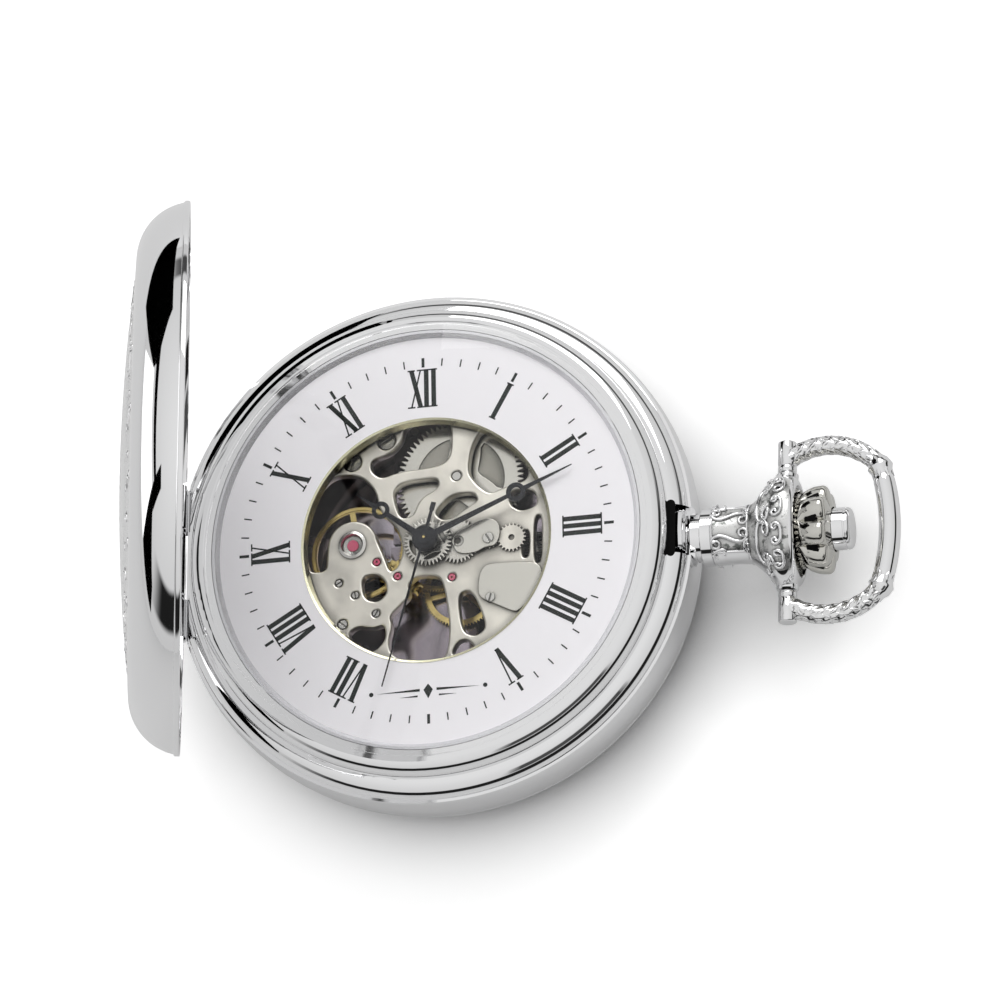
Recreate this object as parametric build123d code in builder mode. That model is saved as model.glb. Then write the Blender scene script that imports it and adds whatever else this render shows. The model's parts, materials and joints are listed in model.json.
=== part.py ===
"""Hunter-case pocket watch with a skeleton dial, as separate pieces.

Frame: millimetres, +Z out of the dial, +X to 3 o'clock and the pendant, +Y to 12 o'clock.
The origin is the centre of the flat back face. The front cover stands open on its hinge.
Heights in this file are counted from the movement's datum, which lies datum_height above the back.
"""

from build123d import *
from math import atan2, cos, degrees, pi, radians, sin
import os

os.makedirs("parts", exist_ok=True)

# Case
case_radius = 23.5
datum_height = 3.5
back_flat_radius = 14.5
seam_height = 1.9
seat_height = 6.1
dial_height = 8.5
dial_thickness = 0.4
dial_radius = 19.0
window_radius = 11.25
crystal_radius = 20.0
bezel_radius = 21.45
ledge_height = 8.95

# Front cover and its hinge, along Y at 9 o'clock
cover_radius = 23.8
cover_wall = 0.5
cover_seat = 6.15
cover_open_angle = 74.5
hinge_x = -23.0
hinge_z = 6.9
knuckle_radius = 0.75
pin_radius = 0.35
pin_length = 14.2
cover_knuckle_half = 3.0
case_knuckle_in = 3.15
case_knuckle_out = 7.0

# Pendant, bow, crown and button, along X at 3 o'clock
stem_height = 3.9
stem_radius = 0.55
collar_x = 10.5
shank_radius = 1.6
collar_radius = 2.15
collar_seat = 22.9
head_x = 31.3
post_radius = 0.82
post_in = 5.45
post_out = 8.3
bow_rod_radius = 0.88
screw_radius = 0.4
crown_start = 31.9
crown_end = 35.5
crown_radius = 3.87
button_radius = 1.9
button_end = 37.15
button_floor = 33.1

# Movement
plate_low = 6.2
plate_high = 7.4
plate_radius = 13.3
skirt_radius = 12.5
bridge_low = 2.4
bridge_high = 3.1
barrel_teeth, centre_pinion_leaves = 72, 12
barrel_x, barrel_y = 2.4, 6.1
centre_teeth, third_leaves = 80, 10
third_teeth, fourth_leaves = 75, 10
third_x, third_y = 2.1, -3.2
fourth_teeth, escape_leaves = 80, 8
escape_x, escape_y = -2.8, -2.8
escape_radius = 2.0
escape_teeth = 15
balance_x, balance_y = -6.9, 0.3
balance_radius = 4.3
cannon_leaves, minute_teeth = 12, 36
minute_leaves, hour_teeth = 10, 40
minute_x = 2.64
setting_a_teeth, setting_b_teeth = 15, 22
ratchet_teeth, crown_wheel_teeth = 54, 38
winding_pinion_teeth = 20
winding_module = 0.16
post_bore = 0.28
hour_angle, minute_angle, seconds_angle = 305.5, 66.0, 195.0

barrel_distance = (barrel_x**2 + barrel_y**2) ** 0.5
barrel_module = 2 * barrel_distance / (barrel_teeth + centre_pinion_leaves)
third_distance = (third_x**2 + third_y**2) ** 0.5
centre_module = 2 * third_distance / (centre_teeth + third_leaves)
third_module = 2 * third_distance / (third_teeth + fourth_leaves)
escape_distance = (escape_x**2 + escape_y**2) ** 0.5
fourth_module = 2 * escape_distance / (fourth_teeth + escape_leaves)
cannon_module = 2 * minute_x / (cannon_leaves + minute_teeth)
hour_module = 2 * minute_x / (minute_leaves + hour_teeth)
setting_a_x = minute_x + cannon_module * (minute_teeth + setting_a_teeth) / 2
setting_b_x = setting_a_x + cannon_module * (setting_a_teeth + setting_b_teeth) / 2
ratchet_distance = winding_module * (ratchet_teeth + crown_wheel_teeth) / 2
crown_wheel_x = barrel_x + (ratchet_distance**2 - barrel_y**2) ** 0.5

hinge_axis = Axis((hinge_x, 0, hinge_z + datum_height), (0, 1, 0))
stem_axis = Axis((0, 0, stem_height + datum_height), (1, 0, 0))
# Upright section planes: local y is the height above the datum, or above the stem's axis
upright = Plane(origin=(0, 0, datum_height), x_dir=(1, 0, 0), z_dir=(0, -1, 0))
along_stem = Plane(origin=(0, 0, stem_height + datum_height), x_dir=(1, 0, 0), z_dir=(0, -1, 0))


def save(part, label):
    """Labels one finished piece and writes it as its own STEP file."""
    part.label = label
    export_step(part, f"parts/{label}.step")


def level(height, x=0, y=0):
    """A horizontal sketch plane at a height, with its origin above (x, y)."""
    return Plane(origin=(x, y, height + datum_height), x_dir=(1, 0, 0), z_dir=(0, 0, 1))


def at(x, y, height):
    """A location given by its height above the datum."""
    return Location((x, y, height + datum_height))


def across(x, y=0):
    """A sketch plane square to the stem, looking out towards the crown."""
    return Plane(origin=(x, y, stem_height + datum_height), x_dir=(0, 1, 0), z_dir=(1, 0, 0))


def hand_plane(height, angle):
    """A horizontal plane whose local y points along a hand at that clockwise angle from 12."""
    turn = radians(-angle)
    return Plane(origin=(0, 0, height + datum_height), x_dir=(cos(turn), sin(turn), 0), z_dir=(0, 0, 1))


def dome_arc(apex, edge_radius, edge_height):
    """A spherical section line from the axis at height apex out to its edge."""
    rise = apex - edge_height
    ball = (edge_radius**2 + rise**2) / (2 * rise)
    middle = edge_radius / 2
    middle_height = apex - ball + (ball**2 - middle**2) ** 0.5
    ThreePointArc((0, apex), (middle, middle_height), (edge_radius, edge_height))


def direction(x0, y0, x1, y1):
    """The angle of the line from one centre to another, in degrees."""
    return degrees(atan2(y1 - y0, x1 - x0))


def meshed(phase, teeth, other_teeth, toward):
    """The phase of a wheel that meshes with one of that phase, lying in direction toward."""
    return toward + 180 - teeth / other_teeth * (phase - toward) - 180 / other_teeth


def toothed_face(teeth, module, phase=0.0):
    """A closed toothed outline, centred on the sketch, with a tooth at angle phase."""
    pitch = module * teeth / 2
    root, tip = pitch - 1.0 * module, pitch + 0.8 * module
    step = 2 * pi / teeth
    points = []
    for tooth in range(teeth):
        middle = radians(phase) + tooth * step
        for radius, share in ((root, -0.24), (tip, -0.1), (tip, 0.1), (root, 0.24)):
            angle = middle + share * step
            points.append((radius * cos(angle), radius * sin(angle)))
    with BuildLine() as outline:
        Polyline(*points, close=True)
    make_face(outline.edges())


def spokes(inner, outer, hub, count, width, phase=0.0):
    """Cuts a wheel's web away between its rim and hub, leaving spokes."""
    Circle(outer, mode=Mode.SUBTRACT)
    Circle(hub)
    with PolarLocations((inner + outer) / 2, count, start_angle=phase):
        Rectangle(outer - inner + 0.1, width)


def coil(first, step, turns, strip):
    """A closed flat coil about the sketch's origin, in half turns of growing radius."""
    with BuildLine() as outline:
        for shift in (0, strip):
            crossing = [(-1) ** k * (first + k * step + shift) for k in range(2 * turns + 1)]
            for k in range(2 * turns):
                a, b = crossing[k], crossing[k + 1]
                ThreePointArc((a, 0), ((a + b) / 2, abs(a - b) / 2 * (-1) ** k), (b, 0))
        Line((first, 0), (first + strip, 0))
        Line((first + 2 * turns * step, 0), (first + 2 * turns * step + strip, 0))
    make_face(outline.edges())


def window(*points, radius=0.35):
    """Cuts a rounded opening out of the current sketch."""
    with BuildSketch(mode=Mode.PRIVATE) as opening:
        Polygon(*points)
        fillet(opening.vertices(), radius)
    add(opening.sketch, mode=Mode.SUBTRACT)


def disc_between(low, high, radius, bore=0.0, centre=(0, 0)):
    """Adds a round disc, ring or boss between two heights to the current part."""
    with BuildSketch(level(low, *centre)) as face:
        Circle(radius)
        if bore:
            Circle(bore, mode=Mode.SUBTRACT)
    extrude(face.sketch, amount=high - low)


def rod_x(x0, x1, radius, bore=0.0):
    """Adds a round length on the stem's axis to the current part."""
    with BuildSketch(across(x0)) as face:
        Circle(radius)
        if bore:
            Circle(bore, mode=Mode.SUBTRACT)
    extrude(face.sketch, amount=x1 - x0)


def rod_y(y0, y1, radius, x, z, mode=Mode.ADD):
    """Adds or cuts a round length that runs along Y."""
    with BuildSketch(Plane(origin=(x, y0, z + datum_height), x_dir=(1, 0, 0), z_dir=(0, 1, 0))) as face:
        Circle(radius)
    extrude(face.sketch, amount=y1 - y0, mode=mode)


# ---------------------------------------------------------------- case

def pendant_mouth():
    """Cuts the hole for the pendant's shank and the seat for its collar."""
    with BuildSketch(across(18)) as hole:
        Circle(shank_radius)
    extrude(hole.sketch, amount=8, mode=Mode.SUBTRACT)
    with BuildSketch(across(collar_seat)) as seat:
        Circle(collar_radius)
    extrude(seat.sketch, amount=4, mode=Mode.SUBTRACT)


with BuildPart() as case_band:
    with BuildSketch(upright):
        with BuildLine():
            Polyline((19.2, 7.0), (19.2, 5.9), (21.3, 5.9), (21.3, seam_height), (23.25, seam_height))
            ThreePointArc((23.25, seam_height), (case_radius, 4.4), (23.3, seat_height))
            Polyline((23.3, seat_height), (23.05, seat_height))
            ThreePointArc((23.05, seat_height), (22.5, 6.9), (bezel_radius, 7.3))
            Polyline((bezel_radius, 7.3), (20.9, 7.3), (20.9, 7.9), (20.3, 7.9), (20.3, 7.0), (19.2, 7.0))
        make_face()
    revolve(axis=Axis.Z)
    rod_y(-case_knuckle_out - 0.3, case_knuckle_out + 0.3, 1.25, hinge_x, hinge_z, Mode.SUBTRACT)
    for side in (-1, 1):
        with Locations(at(hinge_x, side * (case_knuckle_in + case_knuckle_out) / 2, hinge_z - 0.85)):
            Box(1.1, case_knuckle_out - case_knuckle_in, 1.3)
        start, stop = sorted((side * case_knuckle_in, side * case_knuckle_out))
        rod_y(start, stop, knuckle_radius, hinge_x, hinge_z)
    rod_y(-pin_length / 2, pin_length / 2, pin_radius, hinge_x, hinge_z, Mode.SUBTRACT)
    pendant_mouth()
    # The slot that the cover's catch slides in
    with Locations(at(22.2, 0, 6.3)):
        Box(3.4, 4.4, 2.2, mode=Mode.SUBTRACT)
save(case_band.part, "case_band")

back_height = -datum_height
with BuildPart() as back_cover:
    with BuildSketch(upright):
        with BuildLine():
            Line((0, back_height), (back_flat_radius, back_height))
            ThreePointArc((back_flat_radius, back_height), (16.5, -3.3), (18.3, -2.75))
            ThreePointArc((18.3, -2.75), (21.7, -1.1), (23.25, 1.6))
            Polyline((23.25, 1.6), (23.25, seam_height), (21.25, seam_height), (21.25, 3.0))
            Polyline((21.25, 3.0), (20.6, 3.0), (20.6, 0.4))
            ThreePointArc((20.6, 0.4), (19.7, -1.2), (18.0, -2.1))
            ThreePointArc((18.0, -2.1), (16.4, -2.6), (back_flat_radius, -2.8))
            Polyline((back_flat_radius, -2.8), (0, -2.8), (0, back_height))
        make_face()
    revolve(axis=Axis.Z)
    pendant_mouth()
save(back_cover.part, "back_cover")

with BuildPart() as dust_cover:
    with BuildSketch(upright):
        Polygon((0, 0.6), (20.1, 0.6), (20.55, 1.0), (20.55, 1.9), (20.15, 1.9), (20.15, 1.15), (0, 1.15))
    revolve(axis=Axis.Z)
save(dust_cover.part, "dust_cover")

with BuildPart() as bezel:
    with BuildSketch(upright):
        with BuildLine():
            Polyline((20.05, 9.12), (20.05, ledge_height), (19.3, ledge_height), (19.3, 8.15), (20.9, 8.15))
            Polyline((20.9, 8.15), (20.9, 7.3), (bezel_radius, 7.3), (bezel_radius, 7.5))
            ThreePointArc((bezel_radius, 7.5), (21.15, 8.6), (20.4, 9.12))
            Line((20.4, 9.12), (20.05, 9.12))
        make_face()
    revolve(axis=Axis.Z)
save(bezel.part, "bezel")

with BuildPart() as crystal:
    with BuildSketch(upright):
        with BuildLine():
            Line((0, 9.85), (0, 10.5))
            dome_arc(10.5, 19.85, 9.5)
            Polyline((19.85, 9.5), (crystal_radius, 9.35), (crystal_radius, ledge_height))
            Line((crystal_radius, ledge_height), (19.5, ledge_height))
            dome_arc(9.85, 19.5, ledge_height)
        make_face()
    revolve(axis=Axis.Z)
save(crystal.part, "crystal")

with BuildPart() as rehaut_ring:
    with BuildSketch(upright):
        Polygon((18.65, dial_height), (19.25, dial_height), (19.25, ledge_height), (19.0, ledge_height))
    revolve(axis=Axis.Z)
save(rehaut_ring.part, "rehaut_ring")

with BuildPart() as dial:
    disc_between(dial_height - dial_thickness, dial_height, dial_radius, window_radius)
save(dial.part, "dial")

with BuildPart() as dial_window_ring:
    with BuildSketch(upright):
        Polygon((10.85, 7.75), (window_radius, 7.75), (window_radius, dial_height + 0.06),
                (11.05, dial_height))
    revolve(axis=Axis.Z)
save(dial_window_ring.part, "dial_window_ring")

with BuildPart() as movement_ring:
    disc_between(4.6, dial_height - dial_thickness, 19.1, plate_radius)
    with PolarLocations(16.2, 6, start_angle=30):
        CounterBoreHole(0.5, 0.9, 0.5)
save(movement_ring.part, "movement_ring")

with BuildPart() as hinge_pin:
    rod_y(-pin_length / 2, pin_length / 2, pin_radius, hinge_x, hinge_z)
save(hinge_pin.part, "hinge_pin")


def case_spring(start_angle, sweep_angle, label):
    """A flat steel spring curved inside the band, with a screw pad at one end."""
    with BuildPart() as spring:
        with BuildSketch(level(3.6)):
            with BuildLine():
                outer = CenterArc((0, 0), 20.9, start_angle, sweep_angle)
                inner = CenterArc((0, 0), 20.5, start_angle, sweep_angle)
                Line(outer @ 0, inner @ 0)
                Line(outer @ 1, inner @ 1)
            make_face()
        extrude(amount=1.8)
        pad = radians(start_angle)
        disc_between(3.6, 5.4, 0.75, 0.35, (20.35 * cos(pad), 20.35 * sin(pad)))
    save(spring.part, label)


case_spring(112, 58, "lift_spring")
case_spring(-62, 50, "catch_spring")

catch_half_width = 1.9
with BuildPart() as lid_catch:
    # A sliding block with a sloped nose that stands behind the closed cover's wall
    with BuildSketch(Plane(origin=(0, -catch_half_width, datum_height), x_dir=(1, 0, 0), z_dir=(0, -1, 0))):
        Polygon((21.1, 5.6), (22.3, 5.6), (22.3, 6.75), (22.75, 6.8), (22.6, 7.1), (22.2, 7.25), (21.1, 7.25))
    extrude(amount=-2 * catch_half_width)
save(lid_catch.part, "lid_catch")

# ---------------------------------------------------------------- front cover

rim = cover_seat
with BuildPart() as front_cover:
    with BuildSketch(upright):
        with BuildLine():
            Polyline((23.2, rim + 0.4), (23.2, rim), (cover_radius, rim))
            Polyline((cover_radius, rim), (cover_radius, rim + 0.5), (23.6, rim + 0.7))
            ThreePointArc((23.6, rim + 0.7), (21.9, rim + 3.4), (18.3, rim + 4.5))
            dome_arc(rim + 5.95, 18.3, rim + 4.5)
            Line((0, rim + 5.95), (0, rim + 5.45))
            dome_arc(rim + 5.45, 18.1, rim + 4.02)
            ThreePointArc((18.1, rim + 4.02), (21.4, rim + 3.02), (23.05, rim + 0.7))
            Line((23.05, rim + 0.7), (23.2, rim + 0.4))
        make_face()
    revolve(axis=Axis.Z)
    rod_y(-case_knuckle_out - 0.15, case_knuckle_out + 0.15, 1.1, hinge_x, hinge_z, Mode.SUBTRACT)
    # The cover's own knuckle, webbed to its wall
    rod_y(-cover_knuckle_half, cover_knuckle_half, knuckle_radius, hinge_x, hinge_z)
    with Locations(at(hinge_x + 0.15, 0, hinge_z + 0.85)):
        Box(0.75, 2 * cover_knuckle_half, 1.5)
    rod_y(-cover_knuckle_half, cover_knuckle_half, pin_radius + 0.04, hinge_x, hinge_z, Mode.SUBTRACT)
save(front_cover.part.rotate(hinge_axis, -cover_open_angle), "front_cover")

# ---------------------------------------------------------------- pendant, bow, crown

with BuildPart() as pendant:
    with BuildSketch(along_stem):
        with BuildLine():
            Polyline((21.4, 1.1), (21.4, shank_radius), (collar_seat, shank_radius))
            Line((collar_seat, shank_radius), (collar_seat, collar_radius))
            Polyline((collar_seat, collar_radius), (24.4, collar_radius), (24.6, 2.3))
            ThreePointArc((24.6, 2.3), (26.4, 2.45), (28.0, 2.3))
            ThreePointArc((28.0, 2.3), (29.6, 3.1), (30.6, 4.1))
            ThreePointArc((30.6, 4.1), (31.5, 4.45), (32.4, 4.3))
            Polyline((32.4, 4.3), (32.5, 4.05), (31.6, 3.95), (30.4, 2.2), (30.4, 1.1), (21.4, 1.1))
        make_face()
    revolve(axis=stem_axis)
    # Two side bosses that carry the bow
    for side in (-1, 1):
        start, stop = sorted((side * 3.9, side * 5.35))
        rod_y(start, stop, 0.98, head_x, stem_height)
        start, stop = sorted((side * 3.7, side * 5.5))
        rod_y(start, stop, screw_radius, head_x, stem_height, Mode.SUBTRACT)
    # The bosses stop outside the cup, so the crown turns freely
    with BuildSketch(along_stem):
        Polygon((31.6, 0), (31.6, 3.95), (32.5, 4.05), (33.5, 4.05), (33.5, 0))
    revolve(axis=stem_axis, mode=Mode.SUBTRACT)
save(pendant.part, "pendant")

with BuildPart() as pendant_sleeve:
    rod_x(21.4, 30.2, 1.1, 0.8)
save(pendant_sleeve.part, "pendant_sleeve")

with BuildPart() as bow_screws:
    for side in (-1, 1):
        start, stop = sorted((side * 4.2, side * (post_out - 0.35)))
        rod_y(start, stop, screw_radius, head_x, stem_height)
        start, stop = sorted((side * (post_out - 0.5), side * (post_out - 0.1)))
        rod_y(start, stop, 0.58, head_x, stem_height)
save(bow_screws.part, "bow_screws")

with BuildPart() as bow:
    for side in (-1, 1):
        start, stop = sorted((side * post_in, side * post_out))
        rod_y(start, stop, post_radius, head_x, stem_height)
    corner = (39.5, 5.55)
    with BuildLine() as bow_line:
        ThreePointArc((31.6, 6.75), (35.9, 7.65), corner)
        ThreePointArc(corner, (40.45, 0), (corner[0], -corner[1]))
        ThreePointArc((corner[0], -corner[1]), (35.9, -7.65), (31.6, -6.75))
    bow_path = bow_line.line.moved(at(0, 0, stem_height))
    for edge in bow_path.edges():
        with BuildSketch(Plane(origin=edge @ 0, z_dir=edge % 0)):
            Circle(bow_rod_radius)
        sweep(path=edge)
    for side in (-1, 1):
        with Locations(at(corner[0], side * corner[1], stem_height)):
            Sphere(1.08)
    for side in (-1, 1):
        # Bore for the screw's shank, and the pocket for its head
        start, stop = sorted((side * 5.0, side * 8.5))
        rod_y(start, stop, screw_radius + 0.05, head_x, stem_height, Mode.SUBTRACT)
        start, stop = sorted((side * (post_out - 0.55), side * 8.5))
        rod_y(start, stop, 0.63, head_x, stem_height, Mode.SUBTRACT)
save(bow.part, "bow")

with BuildPart() as crown:
    with BuildSketch(along_stem):
        with BuildLine():
            Polyline((crown_start, 0), (crown_start, 3.2), (32.15, 3.45), (32.7, 3.45))
            ThreePointArc((32.7, 3.45), (34.0, crown_radius), (crown_end - 0.1, 2.9))
            Polyline((crown_end - 0.1, 2.9), (crown_end, 2.3), (crown_end, 0), (crown_start, 0))
        make_face()
    revolve(axis=stem_axis)
    # Eight grip flutes, then the push button's bore
    with BuildSketch(across(32.75)):
        with PolarLocations(4.35, 8, start_angle=22.5):
            Circle(0.85)
    extrude(amount=4, mode=Mode.SUBTRACT)
    with BuildSketch(across(button_floor)):
        Circle(button_radius + 0.05)
    extrude(amount=crown_end - button_floor + 1, mode=Mode.SUBTRACT)
    with BuildSketch(across(crown_start - 1)):
        Circle(stem_radius)
    extrude(amount=3, mode=Mode.SUBTRACT)
save(crown.part, "crown")

with BuildPart() as release_button:
    rod_x(34.0, button_end, button_radius)
    chamfer(release_button.edges().filter_by(GeomType.CIRCLE).sort_by(Axis.X)[-1], 0.2)
save(release_button.part, "release_button")

with BuildPart() as button_spring:
    # A spring washer on the floor of the button's bore
    rod_x(button_floor, button_floor + 0.2, 1.7, 1.35)
save(button_spring.part, "button_spring")

with BuildPart() as winding_stem:
    rod_x(7.0, button_floor, stem_radius)
    rod_x(31.0, 31.85, 0.9)
    with BuildSketch(across(collar_x - 0.05)):
        Circle(stem_radius)
        Circle(0.35, mode=Mode.SUBTRACT)
    extrude(amount=0.45, mode=Mode.SUBTRACT)
save(winding_stem.part, "winding_stem")

with BuildPart() as detent_collar:
    # A split collar in the stem's groove: it slides with the stem and doesn't turn
    rod_x(collar_x, collar_x + 0.35, 0.95, 0.4)
save(detent_collar.part, "detent_collar")

with BuildPart() as winding_pinion:
    with BuildSketch(across(8.9)):
        toothed_face(winding_pinion_teeth, 0.14)
        Circle(stem_radius + 0.04, mode=Mode.SUBTRACT)
    extrude(amount=1.0)
save(winding_pinion.part, "winding_pinion")

with BuildPart() as clutch_wheel:
    with BuildSketch(across(7.6)):
        toothed_face(14, 0.13)
        Circle(stem_radius + 0.02, mode=Mode.SUBTRACT)
    extrude(amount=1.2)
save(clutch_wheel.part, "clutch_wheel")

# ---------------------------------------------------------------- movement plates

pallet_x, pallet_y = -4.7, -1.37

with BuildPart() as main_plate:
    with BuildSketch(level(plate_low)):
        Circle(plate_radius)
        # Barrel openings between the three arms
        window((-5.5, 8.2), (-5.4, 7.0), (-4.4, 6.2), (-2.9, 6.9), (1.1, 7.1), (1.9, 8.2), (1.9, 11.2),
               (0.2, 11.7), (-2.3, 11.1), (-2.7, 9.6), (-3.4, 8.4))
        window((3.5, 6.5), (4.0, 8.8), (4.7, 10.3), (6.8, 9.2), (8.7, 6.8), (8.9, 5.4), (6.9, 4.9),
               (5.6, 4.3))
        window((-3.3, 5.2), (-2.6, 5.9), (0.6, 6.0), (0.8, 5.1), (-0.7, 4.3), (-1.5, 2.7), (-2.5, 2.5))
        window((0.5, 2.9), (2.0, 4.4), (3.9, 4.5), (4.3, 3.8), (3.3, 3.2), (2.2, 2.3), (1.2, 2.2), radius=0.2)
        # Balance opening, round the lobe that carries the balance jewel
        window((-10.9, -1.9), (-11.4, 1.5), (-10.6, 4.6), (-9.0, 6.7), (-6.4, 6.6), (-5.0, 5.2), (-4.6, 3.2),
               (-2.9, 1.6), (-2.4, -0.4), (-2.9, -1.9), (-3.6, -2.2), (-4.4, -1.2), (-8.9, -1.9))
        with Locations((balance_x, balance_y)):
            Circle(2.25)
        Polygon((-9.15, 0.3), (-4.75, 0.7), (-3.9, -0.9), (-3.9, -2.5), (-9.1, -2.6))
        window((-6.0, -2.8), (-4.9, -2.6), (-4.2, -3.3), (-3.9, -4.2), (-4.6, -4.9), (-5.6, -4.6))
        window((-7.0, -7.7), (-6.2, -7.2), (-4.2, -7.3), (-3.9, -9.2), (-5.0, -9.5))
        # Train openings
        window((-1.8, -3.4), (-0.9, -2.9), (0.9, -3.1), (1.2, -4.0), (1.9, -7.6), (1.6, -10.4), (-0.9, -10.6),
               (-3.3, -9.6), (-3.5, -7.3), (-2.9, -5.4))
        window((2.8, -4.9), (3.5, -4.6), (4.1, -5.3), (5.2, -7.9), (4.3, -8.6), (3.3, -8.2))
        window((2.3, -10.3), (2.7, -9.2), (3.4, -9.1), (4.1, -9.8), (3.4, -10.5), radius=0.3)
        window((8.4, 0.6), (8.95, 0.6), (8.95, -1.8), (8.4, -1.8), radius=0.25)
        window((9.5, 1.7), (10.1, 1.7), (10.1, -2.2), (9.5, -2.2), radius=0.25)
        window((7.5, 4.3), (9.3, 4.2), (9.6, 3.0), (8.2, 2.6), (7.3, 3.2), radius=0.3)
        # Pivot and screw holes
        Circle(0.45, mode=Mode.SUBTRACT)
        with Locations((third_x, third_y), (escape_x, escape_y), (pallet_x, pallet_y), (-8.1, -3.1),
                       (-6.6, -4.3), (-4.7, -6.1), (5.65, -5.4)):
            Circle(0.3, mode=Mode.SUBTRACT)
        with Locations((barrel_x, barrel_y), (-7.7, -6.9)):
            Circle(0.42, mode=Mode.SUBTRACT)
        with Locations((balance_x, balance_y)):
            Circle(0.95, mode=Mode.SUBTRACT)
        with Locations((-4.0, 9.8), (-7.05, 8.0)):
            Circle(0.78, mode=Mode.SUBTRACT)
    extrude(amount=plate_high - plate_low)
    # Posts for the minute wheel and the outer setting wheel
    disc_between(plate_high, plate_high + 0.55, post_bore - 0.04, centre=(minute_x, 0))
    disc_between(plate_high, plate_high + 0.25, post_bore - 0.04, centre=(setting_b_x, 0))
    # Skirt that the bridges stand on, open for the stem
    disc_between(bridge_high, plate_low, plate_radius, skirt_radius)
    with BuildSketch(across(10)):
        Circle(0.7)
    extrude(amount=4, mode=Mode.SUBTRACT)
save(main_plate.part, "main_plate")


def bridge(label, outline, holes, radius=13.0):
    """A bridge or cock on the back of the movement, cut from a disc along an outline."""
    with BuildPart() as plate:
        with BuildSketch(level(bridge_low)):
            Circle(radius)
            Polygon(*outline, mode=Mode.INTERSECT)
            for x, y, hole_radius in holes:
                with Locations((x, y)):
                    Circle(hole_radius, mode=Mode.SUBTRACT)
        extrude(amount=bridge_high - bridge_low)
        if label == "barrel_bridge":
            with Locations(at(9.75, 0, 2.75)):
                Box(4.9, 3.0, 1.2, mode=Mode.SUBTRACT)
    save(plate.part, label)


bridge_screw_places = ((-2.5, 12.0), (10.6, 6.4), (11.9, -2.6), (1.2, -12.2), (-6.2, -10.6), (-11.9, 1.6))
bridge("barrel_bridge", ((-4.3, 14), (-4.3, 1.6), (3.6, 1.6), (3.6, -3.6), (14, -3.6), (14, 14)),
       ((barrel_x, barrel_y, 0.6), (crown_wheel_x, 0, 0.6), (-2.5, 12.0, 0.4), (10.6, 6.4, 0.4),
        (11.9, -2.6, 0.4)))
bridge("train_bridge", ((-4.5, 1.3), (3.3, 1.3), (3.3, -3.9), (3.3, -14), (-9, -14), (-9, -5), (-4.5, -4.6)),
       ((0, 0, 0.3), (third_x, third_y, 0.3), (escape_x, escape_y, 0.3), (1.2, -12.2, 0.4),
        (-6.2, -10.6, 0.4)))
bridge("balance_cock", ((-14, 3.4), (-14, -2.2), (-9, -1.4), (-5.4, -1.1), (-5.4, 1.6), (-9, 2.2)),
       ((balance_x, balance_y, 0.3), (-11.9, 1.6, 0.4)))

with BuildPart() as pallet_bridge:
    with BuildSketch(level(5.3)):
        with Locations((pallet_x, pallet_y)):
            Circle(0.5)
        Polygon((-4.95, -0.98), (-4.4, -1.8), (-5.95, -2.55), (-6.9, -2.55), (-6.9, -1.95))
        with Locations((pallet_x, pallet_y)):
            Circle(0.16, mode=Mode.SUBTRACT)
    extrude(amount=0.2)
    with Locations(at(-6.45, -2.27, 5.85)):
        Box(0.8, 0.5, 0.7)
save(pallet_bridge.part, "pallet_bridge")

with BuildPart() as minute_work_cover:
    with BuildSketch(level(7.72)):
        with BuildLine():
            Polyline((2.35, -0.9), (2.4, 1.0), (4.2, 1.7))
            ThreePointArc((4.2, 1.7), (5.4, 1.75), (6.2, 0.9))
            ThreePointArc((6.2, 0.9), (6.5, -0.1), (6.1, -1.0))
            ThreePointArc((6.1, -1.0), (4.3, -1.35), (2.35, -0.9))
        make_face()
        with Locations((minute_x, 0)):
            Circle(0.78, mode=Mode.SUBTRACT)
        with Locations((setting_a_x, 0)):
            Circle(0.3, mode=Mode.SUBTRACT)
    extrude(amount=0.14)
save(minute_work_cover.part, "minute_work_cover")

with BuildPart() as setting_lever_spring:
    with BuildSketch(level(plate_high)):
        Polygon((6.6, -2.2), (8.5, -2.5), (10.2, -3.0), (10.3, -4.4), (9.2, -6.1), (7.5, -6.9), (5.0, -5.7),
                (4.5, -4.4), (5.4, -3.7), (5.8, -2.7))
        with Locations((5.65, -5.4)):
            Circle(0.3, mode=Mode.SUBTRACT)
    extrude(amount=0.25)
save(setting_lever_spring.part, "setting_lever_spring")


# ---------------------------------------------------------------- small fixed pieces of the movement

def screw(x, y, seat, head_radius, shank_radius, depth, head_height=0.35, head_down=False):
    """Adds a slotted screw to the current part, its head on the seat height."""
    way = -1 if head_down else 1
    with BuildSketch(level(seat, x, y)) as head:
        Circle(head_radius)
    extrude(head.sketch, amount=way * head_height)
    with BuildSketch(level(seat, x, y)) as shank:
        Circle(shank_radius)
    extrude(shank.sketch, amount=-way * depth)
    with BuildSketch(level(seat + way * (head_height - 0.14), x, y)) as slot:
        Rectangle(2.2 * head_radius, 0.18, rotation=25)
    extrude(slot.sketch, amount=way * 0.3, mode=Mode.SUBTRACT)


with BuildPart() as bridge_screws:
    for place_x, place_y in bridge_screw_places:
        screw(place_x, place_y, bridge_low, 0.62, 0.38, 0.65, head_down=True)
save(bridge_screws.part, "bridge_screws")

with BuildPart() as dial_side_screws:
    for place_x, place_y in ((-4.0, 9.8), (-7.05, 8.0)):
        screw(place_x, place_y, 6.9, 0.74, 0.5, 0.7)
    screw(setting_a_x, 0, 7.86, 0.5, 0.28, 0.45, head_height=0.15)
    screw(5.65, -5.4, 7.65, 0.42, 0.28, 0.9, head_height=0.2)
save(dial_side_screws.part, "dial_side_screws")

with BuildPart() as train_jewels:
    for place_x, place_y in ((third_x, third_y), (escape_x, escape_y), (pallet_x, pallet_y)):
        disc_between(plate_high - 0.35, plate_high - 0.05, 0.3, 0.1, (place_x, place_y))
save(train_jewels.part, "train_jewels")

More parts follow.
